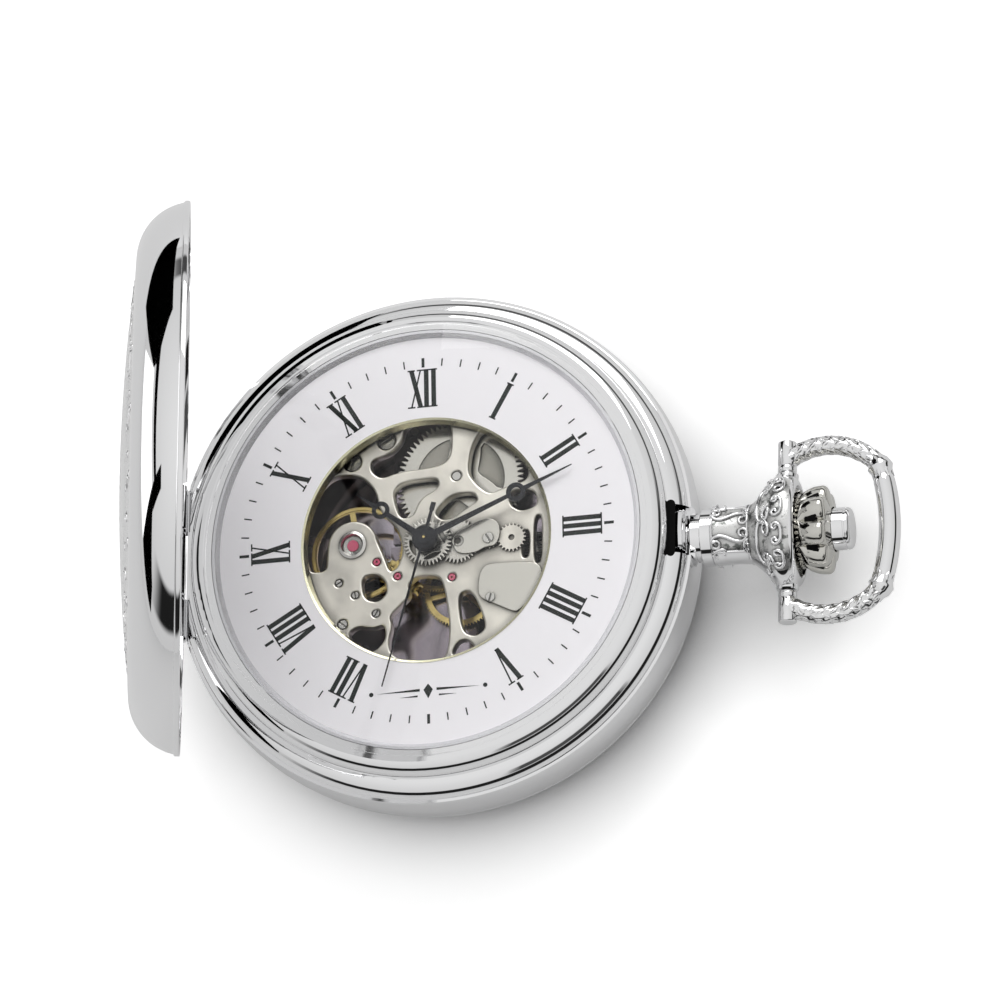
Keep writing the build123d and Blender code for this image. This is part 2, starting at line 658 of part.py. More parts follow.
with BuildPart() as balance_setting:
    with BuildSketch(Plane(origin=(balance_x, balance_y, datum_height), x_dir=(1, 0, 0), z_dir=(0, -1, 0))):
        Polygon((0.5, 6.4), (0.95, 6.4), (0.95, 7.4), (1.25, 7.4), (1.25, 7.55), (1.0, 7.6),
                (0.85, 7.25), (0.5, 7.2))
    revolve(axis=Axis((balance_x, balance_y, 0), (0, 0, 1)))
save(balance_setting.part, "balance_setting")

with BuildPart() as balance_jewel:
    disc_between(6.9, 7.3, 0.5, centre=(balance_x, balance_y))
save(balance_jewel.part, "balance_jewel")

with BuildPart() as click_spring:
    with BuildSketch(level(1.95)):
        with BuildLine():
            long_side = CenterArc((barrel_x, barrel_y), 5.75, 105, 46)
            short_side = CenterArc((barrel_x, barrel_y), 5.55, 105, 46)
            Line(long_side @ 0, short_side @ 0)
            Line(long_side @ 1, short_side @ 1)
        make_face()
    extrude(amount=0.45)
save(click_spring.part, "click_spring")

# ---------------------------------------------------------------- winding work


crown_wheel_phase = 0.0
with BuildPart() as crown_wheel:
    with BuildSketch(level(1.85, crown_wheel_x, 0)):
        toothed_face(crown_wheel_teeth, winding_module, crown_wheel_phase)
    extrude(amount=0.45)
    disc_between(2.3, 3.0, 0.55, centre=(crown_wheel_x, 0))
save(crown_wheel.part, "crown_wheel")

toward_ratchet = direction(crown_wheel_x, 0, barrel_x, barrel_y)
ratchet_phase = meshed(crown_wheel_phase, crown_wheel_teeth, ratchet_teeth, toward_ratchet)
with BuildPart() as ratchet_wheel:
    with BuildSketch(level(1.85, barrel_x, barrel_y)):
        toothed_face(ratchet_teeth, winding_module, ratchet_phase)
        Rectangle(0.8, 0.8, mode=Mode.SUBTRACT)
    extrude(amount=0.45)
save(ratchet_wheel.part, "ratchet_wheel")

with BuildPart() as barrel_arbor:
    with BuildSketch(level(1.75, barrel_x, barrel_y)):
        Rectangle(0.8, 0.8)
    extrude(amount=0.65)
    disc_between(2.4, 4.9, 0.55, centre=(barrel_x, barrel_y))
    disc_between(4.9, 5.7, 1.0, centre=(barrel_x, barrel_y))
    disc_between(5.7, 7.3, 0.38, centre=(barrel_x, barrel_y))
save(barrel_arbor.part, "barrel_arbor")

click_angle = 160
click_reach = winding_module * (ratchet_teeth / 2 + 0.8) + 0.08
click_x = barrel_x + (click_reach + 1.5) * cos(radians(click_angle))
click_y = barrel_y + (click_reach + 1.5) * sin(radians(click_angle))
with BuildPart() as click:
    with BuildSketch(level(1.95, click_x, click_y)):
        Circle(0.6)
        Polygon((0.1, 0.55), (1.35, -0.55), (1.15, -0.8), (-0.2, -0.5))
    extrude(amount=0.4)
    disc_between(2.35, 2.4, 0.3, centre=(click_x, click_y))
save(click.part, "click")

# ---------------------------------------------------------------- going train

centre_phase = 4.0
with BuildPart() as centre_wheel:
    with BuildSketch(level(4.2)):
        toothed_face(centre_teeth, centre_module, centre_phase)
        spokes(0.9, 2.95, 0.9, 4, 0.42, 20)
    extrude(amount=0.2)
    with BuildSketch(level(5.5)):
        toothed_face(centre_pinion_leaves, barrel_module)
    extrude(amount=0.55)
    disc_between(4.0, 7.6, 0.38)
    disc_between(7.6, 8.95, 0.3)
    with BuildSketch(level(3.9)):
        Circle(0.18)
    extrude(amount=6, mode=Mode.SUBTRACT)
save(centre_wheel.part, "centre_wheel")

barrel_phase = meshed(0, centre_pinion_leaves, barrel_teeth, direction(0, 0, barrel_x, barrel_y))
with BuildPart() as barrel:
    with BuildSketch(level(5.6, barrel_x, barrel_y)):
        toothed_face(barrel_teeth, barrel_module, barrel_phase)
    extrude(amount=0.4)
    disc_between(4.7, 5.6, 5.1, centre=(barrel_x, barrel_y))
    disc_between(4.9, 5.75, 4.75, centre=(barrel_x, barrel_y))
    with BuildSketch(level(4.9, barrel_x, barrel_y)):
        Circle(4.75)
    extrude(amount=0.85, mode=Mode.SUBTRACT)
    with BuildSketch(level(4.6, barrel_x, barrel_y)):
        Circle(0.6)
    extrude(amount=2, mode=Mode.SUBTRACT)
    # Three crescent openings in the toothed cover
    with BuildSketch(level(5.7, barrel_x, barrel_y)):
        with PolarLocations(0, 3, start_angle=118):
            SlotArc(CenterArc((0, 0), 2.85, -26, 52), 1.5)
    extrude(amount=0.5, mode=Mode.SUBTRACT)
save(barrel.part, "barrel")

with BuildPart() as mainspring:
    # Coils wound from the arbor out to the barrel's wall
    turns, strip, first = 9, 0.14, 1.15
    with BuildSketch(level(5.0, barrel_x, barrel_y)):
        coil(first, (4.6 - first) / (2 * turns), turns, strip)
    extrude(amount=0.7)
save(mainspring.part, "mainspring")

third_phase = meshed(centre_phase, centre_teeth, third_leaves, direction(0, 0, third_x, third_y))
with BuildPart() as third_wheel:
    with BuildSketch(level(3.65, third_x, third_y)):
        toothed_face(third_teeth, third_module, 1.0)
        spokes(0.7, 2.85, 0.7, 3, 0.4, 75)
    extrude(amount=0.2)
    with BuildSketch(level(4.05, third_x, third_y)):
        toothed_face(third_leaves, centre_module, third_phase)
    extrude(amount=0.5)
    disc_between(3.2, 6.2, 0.2, centre=(third_x, third_y))
    disc_between(2.5, 7.2, 0.08, centre=(third_x, third_y))
save(third_wheel.part, "third_wheel")

fourth_phase = meshed(1.0, third_teeth, fourth_leaves, direction(third_x, third_y, 0, 0))
with BuildPart() as fourth_wheel:
    with BuildSketch(level(3.2)):
        toothed_face(fourth_teeth, fourth_module, 2.0)
        spokes(0.7, 3.05, 0.7, 4, 0.38, 10)
    extrude(amount=0.2)
    with BuildSketch(level(3.5)):
        toothed_face(fourth_leaves, third_module, fourth_phase)
    extrude(amount=0.42)
    disc_between(3.15, 3.95, 0.25)
    disc_between(2.5, 9.35, 0.13)
save(fourth_wheel.part, "fourth_wheel")

escape_phase = meshed(2.0, fourth_teeth, escape_leaves, direction(0, 0, escape_x, escape_y))
with BuildPart() as escape_wheel:
    with BuildSketch(level(5.72, escape_x, escape_y)):
        # Hooked club teeth on a thin rim
        Circle(1.5)
        with PolarLocations(0, escape_teeth):
            Polygon((1.4, -0.02), (1.82, 0.14), (escape_radius, 0.08), (escape_radius - 0.02, 0.24),
                    (1.8, 0.32), (1.4, 0.28))
        spokes(0.4, 1.25, 0.4, 4, 0.22, 30)
    extrude(amount=0.16)
    with BuildSketch(level(3.15, escape_x, escape_y)):
        toothed_face(escape_leaves, fourth_module, escape_phase)
    extrude(amount=0.4)
    disc_between(3.12, 6.15, 0.16, centre=(escape_x, escape_y))
    disc_between(2.5, 7.2, 0.07, centre=(escape_x, escape_y))
save(escape_wheel.part, "escape_wheel")

to_escape = direction(pallet_x, pallet_y, escape_x, escape_y)
to_balance = direction(pallet_x, pallet_y, balance_x, balance_y)
pallet_clear = 0.3
with BuildPart() as pallet_fork:
    with BuildSketch(level(5.74, pallet_x, pallet_y)):
        Circle(0.3)
        for side in (-1, 1):
            # The stones stand just outside the tooth tips, 30 degrees each side of the centre line
            angle = radians(to_escape + 180 + 30 * side)
            tip_x = escape_x + (escape_radius + pallet_clear) * cos(angle) - pallet_x
            tip_y = escape_y + (escape_radius + pallet_clear) * sin(angle) - pallet_y
            length = (tip_x**2 + tip_y**2) ** 0.5
            lean = degrees(atan2(tip_y, tip_x))
            with Locations(Location((tip_x / 2, tip_y / 2), lean)):
                Rectangle(length, 0.16)
        fork_angle = radians(to_balance)
        with Locations(Location((0.95 * cos(fork_angle), 0.95 * sin(fork_angle)), to_balance)):
            Rectangle(1.9, 0.22)
        with Locations(Location((1.9 * cos(fork_angle), 1.9 * sin(fork_angle)), to_balance)):
            Rectangle(0.25, 0.6)
            Rectangle(0.35, 0.2, mode=Mode.SUBTRACT)
    extrude(amount=0.14)
    disc_between(5.35, 7.2, 0.07, centre=(pallet_x, pallet_y))
save(pallet_fork.part, "pallet_fork")

with BuildPart() as balance_wheel:
    with BuildSketch(level(4.75, balance_x, balance_y)):
        Circle(balance_radius)
        spokes(0.6, 3.85, 0.6, 3, 0.5, 100)
    extrude(amount=0.3)
    disc_between(5.05, 5.12, balance_radius - 0.08, balance_radius - 0.3, (balance_x, balance_y))
    # A bore for the staff
    with BuildSketch(level(4.6, balance_x, balance_y)):
        Circle(0.25)
    extrude(amount=1, mode=Mode.SUBTRACT)
save(balance_wheel.part, "balance_wheel")

with BuildPart() as balance_staff:
    disc_between(4.5, 5.2, 0.25, centre=(balance_x, balance_y))
    disc_between(3.3, 6.3, 0.14, centre=(balance_x, balance_y))
    disc_between(2.5, 6.85, 0.07, centre=(balance_x, balance_y))
    disc_between(5.4, 5.6, 0.45, centre=(balance_x, balance_y))
save(balance_staff.part, "balance_staff")

with BuildPart() as hairspring:
    with BuildSketch(level(3.9, balance_x, balance_y)):
        coil(first=0.4, step=0.12, turns=8, strip=0.05)
    extrude(amount=0.15)
save(hairspring.part, "hairspring")

# ---------------------------------------------------------------- motion work and hands

with BuildPart() as cannon_pinion:
    with BuildSketch(level(plate_high + 0.05)):
        toothed_face(cannon_leaves, cannon_module)
    extrude(amount=0.2)
    disc_between(plate_high + 0.05, 9.05, 0.55)
    with BuildSketch(level(plate_high - 0.1)):
        Circle(0.38)
    extrude(amount=0.35, mode=Mode.SUBTRACT)
    with BuildSketch(level(plate_high - 0.1)):
        Circle(0.3)
    extrude(amount=2, mode=Mode.SUBTRACT)
save(cannon_pinion.part, "cannon_pinion")

minute_phase = meshed(0, cannon_leaves, minute_teeth, 0)
with BuildPart() as minute_wheel:
    with BuildSketch(level(plate_high + 0.05, minute_x, 0)):
        toothed_face(minute_teeth, cannon_module, minute_phase)
        Circle(post_bore, mode=Mode.SUBTRACT)
    extrude(amount=0.17)
    with BuildSketch(level(plate_high + 0.22, minute_x, 0)):
        toothed_face(minute_leaves, hour_module)
        Circle(post_bore, mode=Mode.SUBTRACT)
    extrude(amount=0.38)
save(minute_wheel.part, "minute_wheel")

hour_phase = meshed(0, minute_leaves, hour_teeth, 180)
with BuildPart() as hour_wheel:
    with BuildSketch(level(7.78)):
        toothed_face(hour_teeth, hour_module, hour_phase)
    extrude(amount=0.18)
    disc_between(7.78, 8.88, 0.85)
    with BuildSketch(level(7.7)):
        Circle(0.6)
    extrude(amount=2, mode=Mode.SUBTRACT)
save(hour_wheel.part, "hour_wheel")

setting_a_phase = meshed(minute_phase, minute_teeth, setting_a_teeth, 0)
with BuildPart() as setting_wheel_inner:
    with BuildSketch(level(plate_high + 0.05, setting_a_x, 0)):
        toothed_face(setting_a_teeth, cannon_module, setting_a_phase)
        Circle(0.32, mode=Mode.SUBTRACT)
    extrude(amount=0.2)
save(setting_wheel_inner.part, "setting_wheel_inner")

setting_b_phase = meshed(setting_a_phase, setting_a_teeth, setting_b_teeth, 0)
with BuildPart() as setting_wheel_outer:
    with BuildSketch(level(plate_high + 0.05, setting_b_x, 0)):
        toothed_face(setting_b_teeth, cannon_module, setting_b_phase)
        Circle(post_bore, mode=Mode.SUBTRACT)
    extrude(amount=0.2)
save(setting_wheel_outer.part, "setting_wheel_outer")

with BuildPart() as hour_hand:
    with BuildSketch(hand_plane(8.75, hour_angle)):
        Polygon((-0.3, 0.6), (-0.2, 4.3), (0.2, 4.3), (0.3, 0.6))
        with Locations((0, 4.95)):
            Circle(0.8)
            Circle(0.42, mode=Mode.SUBTRACT)
        Polygon((-0.22, 5.6), (0, 7.9), (0.22, 5.6))
        Circle(1.15)
        Circle(0.85, mode=Mode.SUBTRACT)
    extrude(amount=0.12)
save(hour_hand.part, "hour_hand")

with BuildPart() as minute_hand:
    with BuildSketch(hand_plane(8.97, minute_angle)):
        Polygon((-0.3, 0.6), (-0.17, 8.2), (0.17, 8.2), (0.3, 0.6))
        with Locations((0, 8.95)):
            Circle(0.87)
            Circle(0.45, mode=Mode.SUBTRACT)
        Polygon((-0.2, 9.7), (-0.03, 14.4), (0.03, 14.4), (0.2, 9.7))
        Circle(1.1)
        Circle(0.55, mode=Mode.SUBTRACT)
    extrude(amount=0.12)
save(minute_hand.part, "minute_hand")

with BuildPart() as seconds_hand:
    with BuildSketch(hand_plane(9.15, seconds_angle)):
        Polygon((-0.12, 0), (-0.05, 13.9), (0.05, 13.9), (0.12, 0))
        Polygon((-0.14, 0), (-0.14, -2.7), (0.14, -2.7), (0.14, 0))
        with Locations((0, -2.9)):
            Rectangle(0.42, 0.75)
        Circle(1.0)
        Circle(0.13, mode=Mode.SUBTRACT)
    extrude(amount=0.1)
    disc_between(9.25, 9.38, 0.62, 0.13)
save(seconds_hand.part, "seconds_hand")
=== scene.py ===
"""Looks for the hunter-case pocket watch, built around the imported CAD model."""
import json
from math import asin, atan2, cos, hypot, pi, radians, sin, sqrt

import bmesh
import bpy
from mathutils import Matrix, Vector


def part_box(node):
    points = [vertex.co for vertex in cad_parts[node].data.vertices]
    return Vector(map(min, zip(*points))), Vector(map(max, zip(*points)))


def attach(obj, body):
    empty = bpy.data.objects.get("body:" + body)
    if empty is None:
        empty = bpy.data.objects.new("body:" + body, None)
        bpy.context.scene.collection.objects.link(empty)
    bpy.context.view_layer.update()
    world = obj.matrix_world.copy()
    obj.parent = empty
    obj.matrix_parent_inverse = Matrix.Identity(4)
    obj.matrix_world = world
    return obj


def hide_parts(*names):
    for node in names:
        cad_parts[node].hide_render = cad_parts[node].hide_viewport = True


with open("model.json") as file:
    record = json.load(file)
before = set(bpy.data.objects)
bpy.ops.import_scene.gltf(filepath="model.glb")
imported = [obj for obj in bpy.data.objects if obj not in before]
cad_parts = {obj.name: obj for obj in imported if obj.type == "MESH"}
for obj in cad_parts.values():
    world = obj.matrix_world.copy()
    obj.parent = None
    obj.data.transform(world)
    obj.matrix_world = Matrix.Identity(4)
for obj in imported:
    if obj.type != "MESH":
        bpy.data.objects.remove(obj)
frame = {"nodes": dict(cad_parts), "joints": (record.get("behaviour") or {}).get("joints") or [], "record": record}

MM = 0.001
nodes = frame["nodes"]
joints = {joint["name"]: joint for joint in frame["joints"]}
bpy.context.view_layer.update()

dial_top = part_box("dial")[1].z
datum = dial_top - 8.5 * MM
stem_z = joints["crown_turn"]["pos_m"][2]
head_x = joints["bow_swivel"]["pos_m"][0]
hinge = Vector(joints["lid_hinge"]["pos_m"])
open_angle = radians(joints["lid_hinge"]["range_deg"][1])
opened = Matrix.Translation(hinge) @ Matrix.Rotation(-open_angle, 4, "Y") @ Matrix.Translation(-hinge)


# ------------------------ materials

noise_detail = 4.0
patch_detail = 3.0
bump_depth = 0.02 * MM
white = (1, 1, 1)


def material(name, color, metallic=0.0, roughness=0.4, **sockets):
    """A node material with constants on its shader's own sockets."""
    made = bpy.data.materials.new(name)
    made.use_nodes = True
    shader = made.node_tree.nodes["Principled BSDF"]
    shader.inputs["Base Color"].default_value = (*color, 1)
    shader.inputs["Metallic"].default_value = metallic
    shader.inputs["Roughness"].default_value = roughness
    for socket, value in sockets.items():
        shader.inputs[socket.replace("_", " ")].default_value = value
    return made


def node(made, kind, **values):
    """Adds a node, setting sockets by name, with _ for a space, and properties by attribute."""
    new = made.node_tree.nodes.new(kind)
    for key, value in values.items():
        socket = key.replace("_", " ")
        if socket in new.inputs:
            new.inputs[socket].default_value = value
        else:
            setattr(new, key.lower(), value)
    return new


def link(made, a, a_socket, b, b_socket):
    """Wires one node's output to another's input."""
    made.node_tree.links.new(a.outputs[a_socket], b.inputs[b_socket])


def varied(made, scale, low, high, bump=0.0, bump_scale=None):
    """Roughness that varies over the surface between two levels, and a fine bump if asked for."""
    shader = made.node_tree.nodes["Principled BSDF"]
    place = node(made, "ShaderNodeTexCoord")
    grain = node(made, "ShaderNodeTexNoise", Scale=scale, Detail=noise_detail)
    link(made, place, "Object", grain, "Vector")
    ramp = node(made, "ShaderNodeMapRange", To_Min=low, To_Max=high)
    link(made, grain, "Fac", ramp, "Value")
    link(made, ramp, "Result", shader, "Roughness")
    if bump:
        fine = node(made, "ShaderNodeTexNoise", Scale=bump_scale or scale, Detail=noise_detail)
        link(made, place, "Object", fine, "Vector")
        dent = node(made, "ShaderNodeBump", Strength=bump, Distance=bump_depth)
        link(made, fine, "Fac", dent, "Height")
        link(made, dent, "Normal", shader, "Normal")
    return made


def patched(made, other, scale, low, high):
    """A second colour in soft patches, between two levels of a noise."""
    shader = made.node_tree.nodes["Principled BSDF"]
    first = tuple(shader.inputs["Base Color"].default_value)
    place = node(made, "ShaderNodeTexCoord")
    cloud = node(made, "ShaderNodeTexNoise", Scale=scale, Detail=patch_detail)
    link(made, place, "Object", cloud, "Vector")
    ramp = node(made, "ShaderNodeValToRGB")
    start, end = ramp.color_ramp.elements
    start.position, end.position = low, high
    start.color, end.color = first, (*other, 1)
    link(made, cloud, "Fac", ramp, "Fac")
    link(made, ramp, "Color", shader, "Base Color")
    return made


def painted_crease_shade(made, depth, shadow, strength=1.0):
    """Paints shade into a metal's colour in its creases and beside its neighbours, from ambient occlusion, up to a
    depth in millimetres.
    """
    shader = made.node_tree.nodes["Principled BSDF"]
    base = tuple(shader.inputs["Base Color"].default_value)
    near = node(made, "ShaderNodeAmbientOcclusion", Distance=depth * MM)
    near.samples = 8
    sharpen = node(made, "ShaderNodeMath", operation="POWER")
    sharpen.inputs[1].default_value = strength
    link(made, near, "AO", sharpen, 0)
    ramp = node(made, "ShaderNodeMix", data_type="RGBA")
    ramp.inputs["A"].default_value, ramp.inputs["B"].default_value = (*shadow, 1), base
    link(made, sharpen, "Value", ramp, "Factor")
    coloured = shader.inputs["Base Color"].links
    if coloured:
        made.node_tree.links.new(coloured[0].from_socket, ramp.inputs["B"])
    made.node_tree.links.new(ramp.outputs["Result"], shader.inputs["Base Color"])
    return made


polished = varied(material("polished_case", (0.86, 0.86, 0.865), 1.0, 0.04), 900, 0.02, 0.06)
inner_polish = varied(material("inner_cover", (0.72, 0.66, 0.73), 1.0, 0.1), 500, 0.06, 0.14)
enamel = varied(material("dial_enamel", (0.84, 0.825, 0.85), 0.0, 0.35), 2000, 0.3, 0.4)
grey_satin = varied(material("rehaut_grey", (0.7, 0.7, 0.72), 0.9, 0.25), 800, 0.2, 0.3)
gilt = varied(material("gilt", (0.83, 0.66, 0.27), 1.0, 0.2), 1500, 0.14, 0.26)
nickel = varied(material("nickel_plate", (0.80, 0.77, 0.69), 1.0, 0.3), 2500, 0.24, 0.38, bump=0.25)
steel = varied(material("steel", (0.62, 0.61, 0.58), 1.0, 0.2), 1500, 0.12, 0.26)
dark = varied(material("hand_dark", (0.025, 0.026, 0.03), 0.6, 0.22), 900, 0.18, 0.28)
ruby = varied(material("ruby", (0.75, 0.12, 0.22), 0.0, 0.1, Transmission_Weight=0.4, IOR=1.76),
              900, 0.05, 0.12)
# It barely refracts, so the dial's image stays in place; its reflections come from the coat
glass = varied(material("crystal", white, 0.0, 0.0, Transmission_Weight=1.0, IOR=1.03, Coat_Weight=0.6,
                        Coat_IOR=1.4, Coat_Roughness=0.01), 300, 0.0, 0.01)
ink = varied(material("dial_ink", (0.010, 0.013, 0.012), 0.0, 0.35, Specular_IOR_Level=0.2),
             2500, 0.3, 0.45)

patched(nickel, (0.52, 0.50, 0.45), 260, 0.42, 0.72)
# Painted shade darkens the plate's colour in its creases and beside its neighbours
painted_crease_shade(nickel, 1.0, (0.05, 0.047, 0.04), 2.4)
# These metals, the gilt and the steel too, get painted shade in their creases
silver = painted_crease_shade(varied(material("wheel_silver", (0.66, 0.645, 0.59), 1.0, 0.2), 1800, 0.16, 0.26, bump=0.2),
                 0.6, (0.03, 0.03, 0.028), 2.0)
steel_dark = painted_crease_shade(varied(material("steel_dark", (0.34, 0.33, 0.29), 1.0, 0.2), 1500, 0.14, 0.24),
                     0.6, (0.02, 0.02, 0.02), 1.6)
painted_crease_shade(gilt, 0.8, (0.10, 0.06, 0.01), 1.6)
painted_crease_shade(steel, 0.6, (0.05, 0.05, 0.045), 1.6)
bridge_grey = painted_crease_shade(varied(material("bridge_grey", (0.47, 0.42, 0.47), 1.0, 0.16), 1500, 0.1, 0.2),
                      0.8, (0.03, 0.026, 0.03), 1.0)
window_gilt = varied(material("window_gilt", (0.66, 0.64, 0.46), 1.0, 0.25), 1500, 0.2, 0.3)
worn_grey = varied(material("crown_metal", (0.62, 0.61, 0.57), 1.0, 0.1), 1500, 0.06, 0.14)
# A near-black for painted shade, laid as sheets where the crown's notches and the catch's slot fall into shade
shadow_black = varied(material("painted_shade_black", (0.004, 0.004, 0.004), 0.0, 0.6, Specular_IOR_Level=0.05),
                      1500, 0.5, 0.8)
chased = varied(material("chased_metal", (0.76, 0.76, 0.75), 1.0, 0.3), 1500, 0.22, 0.34, bump=0.5,
                bump_scale=4500)
patched(chased, (0.22, 0.23, 0.22), 1600, 0.54, 0.64)
# Painted shade in the chasing's hollows and beside its scrolls
painted_crease_shade(chased, 0.5, (0.02, 0.02, 0.02), 2.6)
chased_fine = patched(varied(material("chased_rod", (0.84, 0.84, 0.84), 1.0, 0.1), 1500, 0.06, 0.16),
                      (0.3, 0.3, 0.3), 1700, 0.56, 0.66)
chased_cover = varied(material("engraved_metal", (0.86, 0.86, 0.86), 1.0, 0.12), 2000, 0.08, 0.2)

finishes = {"polished_case": polished, "inner_cover": inner_polish, "dial_enamel": enamel,
            "rehaut_grey": grey_satin, "gilt": gilt, "nickel_plate": nickel, "steel": steel,
            "hand_dark": dark, "ruby": ruby, "crystal": glass}
specials = {"barrel_bridge": bridge_grey, "train_bridge": bridge_grey, "balance_cock": bridge_grey,
            "dial_window_ring": window_gilt}
for part in frame["record"]["subparts"]:
    worn = nodes[part["node"]].data.materials
    worn.clear()
    worn.append(specials.get(part["node"], finishes[part["material_slot"]]))


# ------------------------ building blocks

merge_distance = 1e-7       # metres
bevel_angle = radians(40)


def in_scene(name, data):
    """Makes an object of some data and links it to the scene."""
    made = bpy.data.objects.new(name, data)
    bpy.context.scene.collection.objects.link(made)
    return made


class Piece:
    """Collects vertices in millimetres, then makes one object that rides on a body."""

    def __init__(self, name, finish, slot, body="case", replaces=(), sharp=35):
        self.name, self.finish, self.slot, self.body = name, finish, slot, body
        self.replaces, self.sharp = replaces, sharp
        self.verts, self.faces = [], []

    def add(self, verts, faces):
        """Adds faces whose indices count from the first of the new vertices."""
        first = len(self.verts)
        self.verts.extend(verts)
        self.faces.extend(tuple(first + index for index in face) for face in faces)

    def grid(self, rows, wrap=True, ends=True):
        """Skins a list of equally long rows, joined round if wrap, with both ends closed if ends."""
        count = len(rows[0])
        verts = [point for row in rows for point in row]
        last = count if wrap else count - 1
        faces = []
        for row in range(len(rows) - 1):
            for step in range(last):
                a, b = row * count + step, row * count + (step + 1) % count
                faces.append((a, b, b + count, a + count))
        if ends:
            faces.append(tuple(range(count)))
            faces.append(tuple(range((len(rows) - 1) * count, len(rows) * count)))
        self.add(verts, faces)

    def prism(self, outline, low, high, place):
        """A flat outline raised between two heights; place turns (a, b, height) into a point."""
        count = len(outline)
        verts = [place(a, b, low) for a, b in outline] + [place(a, b, high) for a, b in outline]
        faces = [tuple(range(count)), tuple(range(count, 2 * count))]
        faces += [(i, (i + 1) % count, (i + 1) % count + count, i + count) for i in range(count)]
        self.add(verts, faces)

    def finish_object(self, moved=None, bevel=0.0, second=None, where=None):
        """Makes the object. moved is a matrix in metres; faces where where() is true take the second finish."""
        mesh = bpy.data.meshes.new(self.name)
        shift = Matrix.Scale(MM, 4)
        mesh.from_pydata([shift @ Vector(point) for point in self.verts], [], self.faces)
        work = bmesh.new()
        work.from_mesh(mesh)
        bmesh.ops.remove_doubles(work, verts=work.verts, dist=merge_distance)
        bmesh.ops.recalc_face_normals(work, faces=work.faces)
        work.to_mesh(mesh)
        work.free()
        if moved is not None:
            mesh.transform(moved)
        for face in mesh.polygons:
            face.use_smooth = True
        mesh.set_sharp_from_angle(angle=radians(self.sharp))
        made = in_scene(self.name, mesh)
        mesh.materials.append(self.finish)
        if second:
            mesh.materials.append(second)
            for face in mesh.polygons:
                face.material_index = int(where(face.center / MM))
        if bevel:
            soften(made, bevel)
        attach(made, self.body)
        if self.replaces:
            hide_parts(*self.replaces)
        return made


def soften(target, width):
    """A narrow bevel on the sharp edges, for the highlights a machined edge has."""
    bevel = target.modifiers.new("soft_edges", "BEVEL")
    bevel.width = width * MM
    bevel.segments = 2
    bevel.limit_method = "ANGLE"
    bevel.angle_limit = bevel_angle
    bevel.harden_normals = True


def arc(start, middle, end, count=12):
    """Points on the circle through three points, without the first."""
    (ax, ay), (bx, by), (cx, cy) = start, middle, end
    scale = 2 * (ax * (by - cy) + bx * (cy - ay) + cx * (ay - by))
    a2, b2, c2 = ax * ax + ay * ay, bx * bx + by * by, cx * cx + cy * cy
    ox = (a2 * (by - cy) + b2 * (cy - ay) + c2 * (ay - by)) / scale
    oy = (a2 * (cx - bx) + b2 * (ax - cx) + c2 * (bx - ax)) / scale
    radius = hypot(ax - ox, ay - oy)
    first, between, last = (atan2(y - oy, x - ox) for x, y in (start, middle, end))
    while between < first:
        between += 2 * pi
    while last < first:
        last += 2 * pi
    if between > last:
        last -= 2 * pi
    return [(ox + radius * cos(first + (last - first) * i / count),
             oy + radius * sin(first + (last - first) * i / count)) for i in range(1, count + 1)]


def dome(apex, edge_radius, edge_height, count=14):
    """A spherical profile from the edge in to the axis, without the edge point."""
    rise = apex - edge_height
    ball = (edge_radius**2 + rise**2) / (2 * rise)
    return [(edge_radius * (1 - i / count), apex - ball + sqrt(ball**2 - (edge_radius * (1 - i / count)) ** 2))
            for i in range(1, count + 1)]


def polar(radius, turn, centre=(0, 0)):
    """A point at a distance and an angle from a centre."""
    return (centre[0] + radius * cos(turn), centre[1] + radius * sin(turn))


def ring_of(radius, count=64, centre=(0, 0)):
    """A round outline."""
    return [polar(radius, 2 * pi * i / count, centre) for i in range(count)]


datum_mm = datum / MM
stem_mm = stem_z / MM
head_mm = head_x / MM


def up_place(a, b, height):
    """A point in millimetres, its height counted from the movement's datum."""
    return (a, b, height + datum_mm)


def around_stem(x, radius, angle):
    """A point about the stem's axis; angle 0 is +Y and 90 degrees is up."""
    return (x, radius * cos(angle), stem_mm + radius * sin(angle))


def turned(profile, steps, centre=(0, 0)):
    """Rows of points for a profile of (radius, height) turned about an upright axis."""
    return [[up_place(x, y, z) for x, y in ring_of(radius, steps, centre)] for radius, z in profile]


def turned_post(profile, steps, side):
    """Rows of points for a profile of (y, radius) turned about the bow screw on one side."""
    return [[(x, side * y, z) for x, z in ring_of(radius, steps, (head_mm, stem_mm))] for y, radius in profile]


def lathe_stem(piece, profile, steps=96, shape=None):
    """Turns a profile of (x, radius) about the stem; shape may change a radius by x and angle."""
    rows = []
    for x, radius in profile:
        ring = []
        for step in range(steps):
            angle = 2 * pi * step / steps
            ring.append(around_stem(x, shape(x, radius, angle) if shape else radius, angle))
        rows.append(ring)
    piece.grid(rows)


def curves(name, lines, thickness, finish, body, resolution=3):
    """One curve object of round wires; each line is a list of (point, relative thickness)."""
    data = bpy.data.curves.new(name, "CURVE")
    data.dimensions = "3D"
    data.bevel_depth = thickness * MM
    data.bevel_resolution = resolution
    data.use_fill_caps = True
    for line in lines:
        spline = data.splines.new("POLY")
        spline.points.add(len(line) - 1)
        for point, (place, weight) in zip(spline.points, line):
            point.co = (*(Vector(place) * MM), 1)
            point.radius = weight
    made = in_scene(name, data)
    data.materials.append(finish)
    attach(made, body)
    return made


scroll_taper = 0.35
eye_swell, eye_start = 0.9, 0.93    # the round eye at each end of a scroll


def scroll(length, curl, kind, steps=64):
    """A flat scroll of two spirals, as (a, b, weight): kind S or C, centred on its middle."""
    points = []
    for side in (1, -1):
        a = b = heading = 0.0
        half = []
        for step in range(steps // 2):
            share = step / (steps // 2)
            bend = curl * share if kind == "S" or side == 1 else -curl * share
            heading += bend * length / steps
            a += side * cos(heading) * length / steps
            b += side * sin(heading) * length / steps
            half.append((a, b, 1.0 - scroll_taper * share + (eye_swell if share > eye_start else 0.0)))
        points = half if side == 1 else half[::-1] + points
    return points


# ------------------------ movement

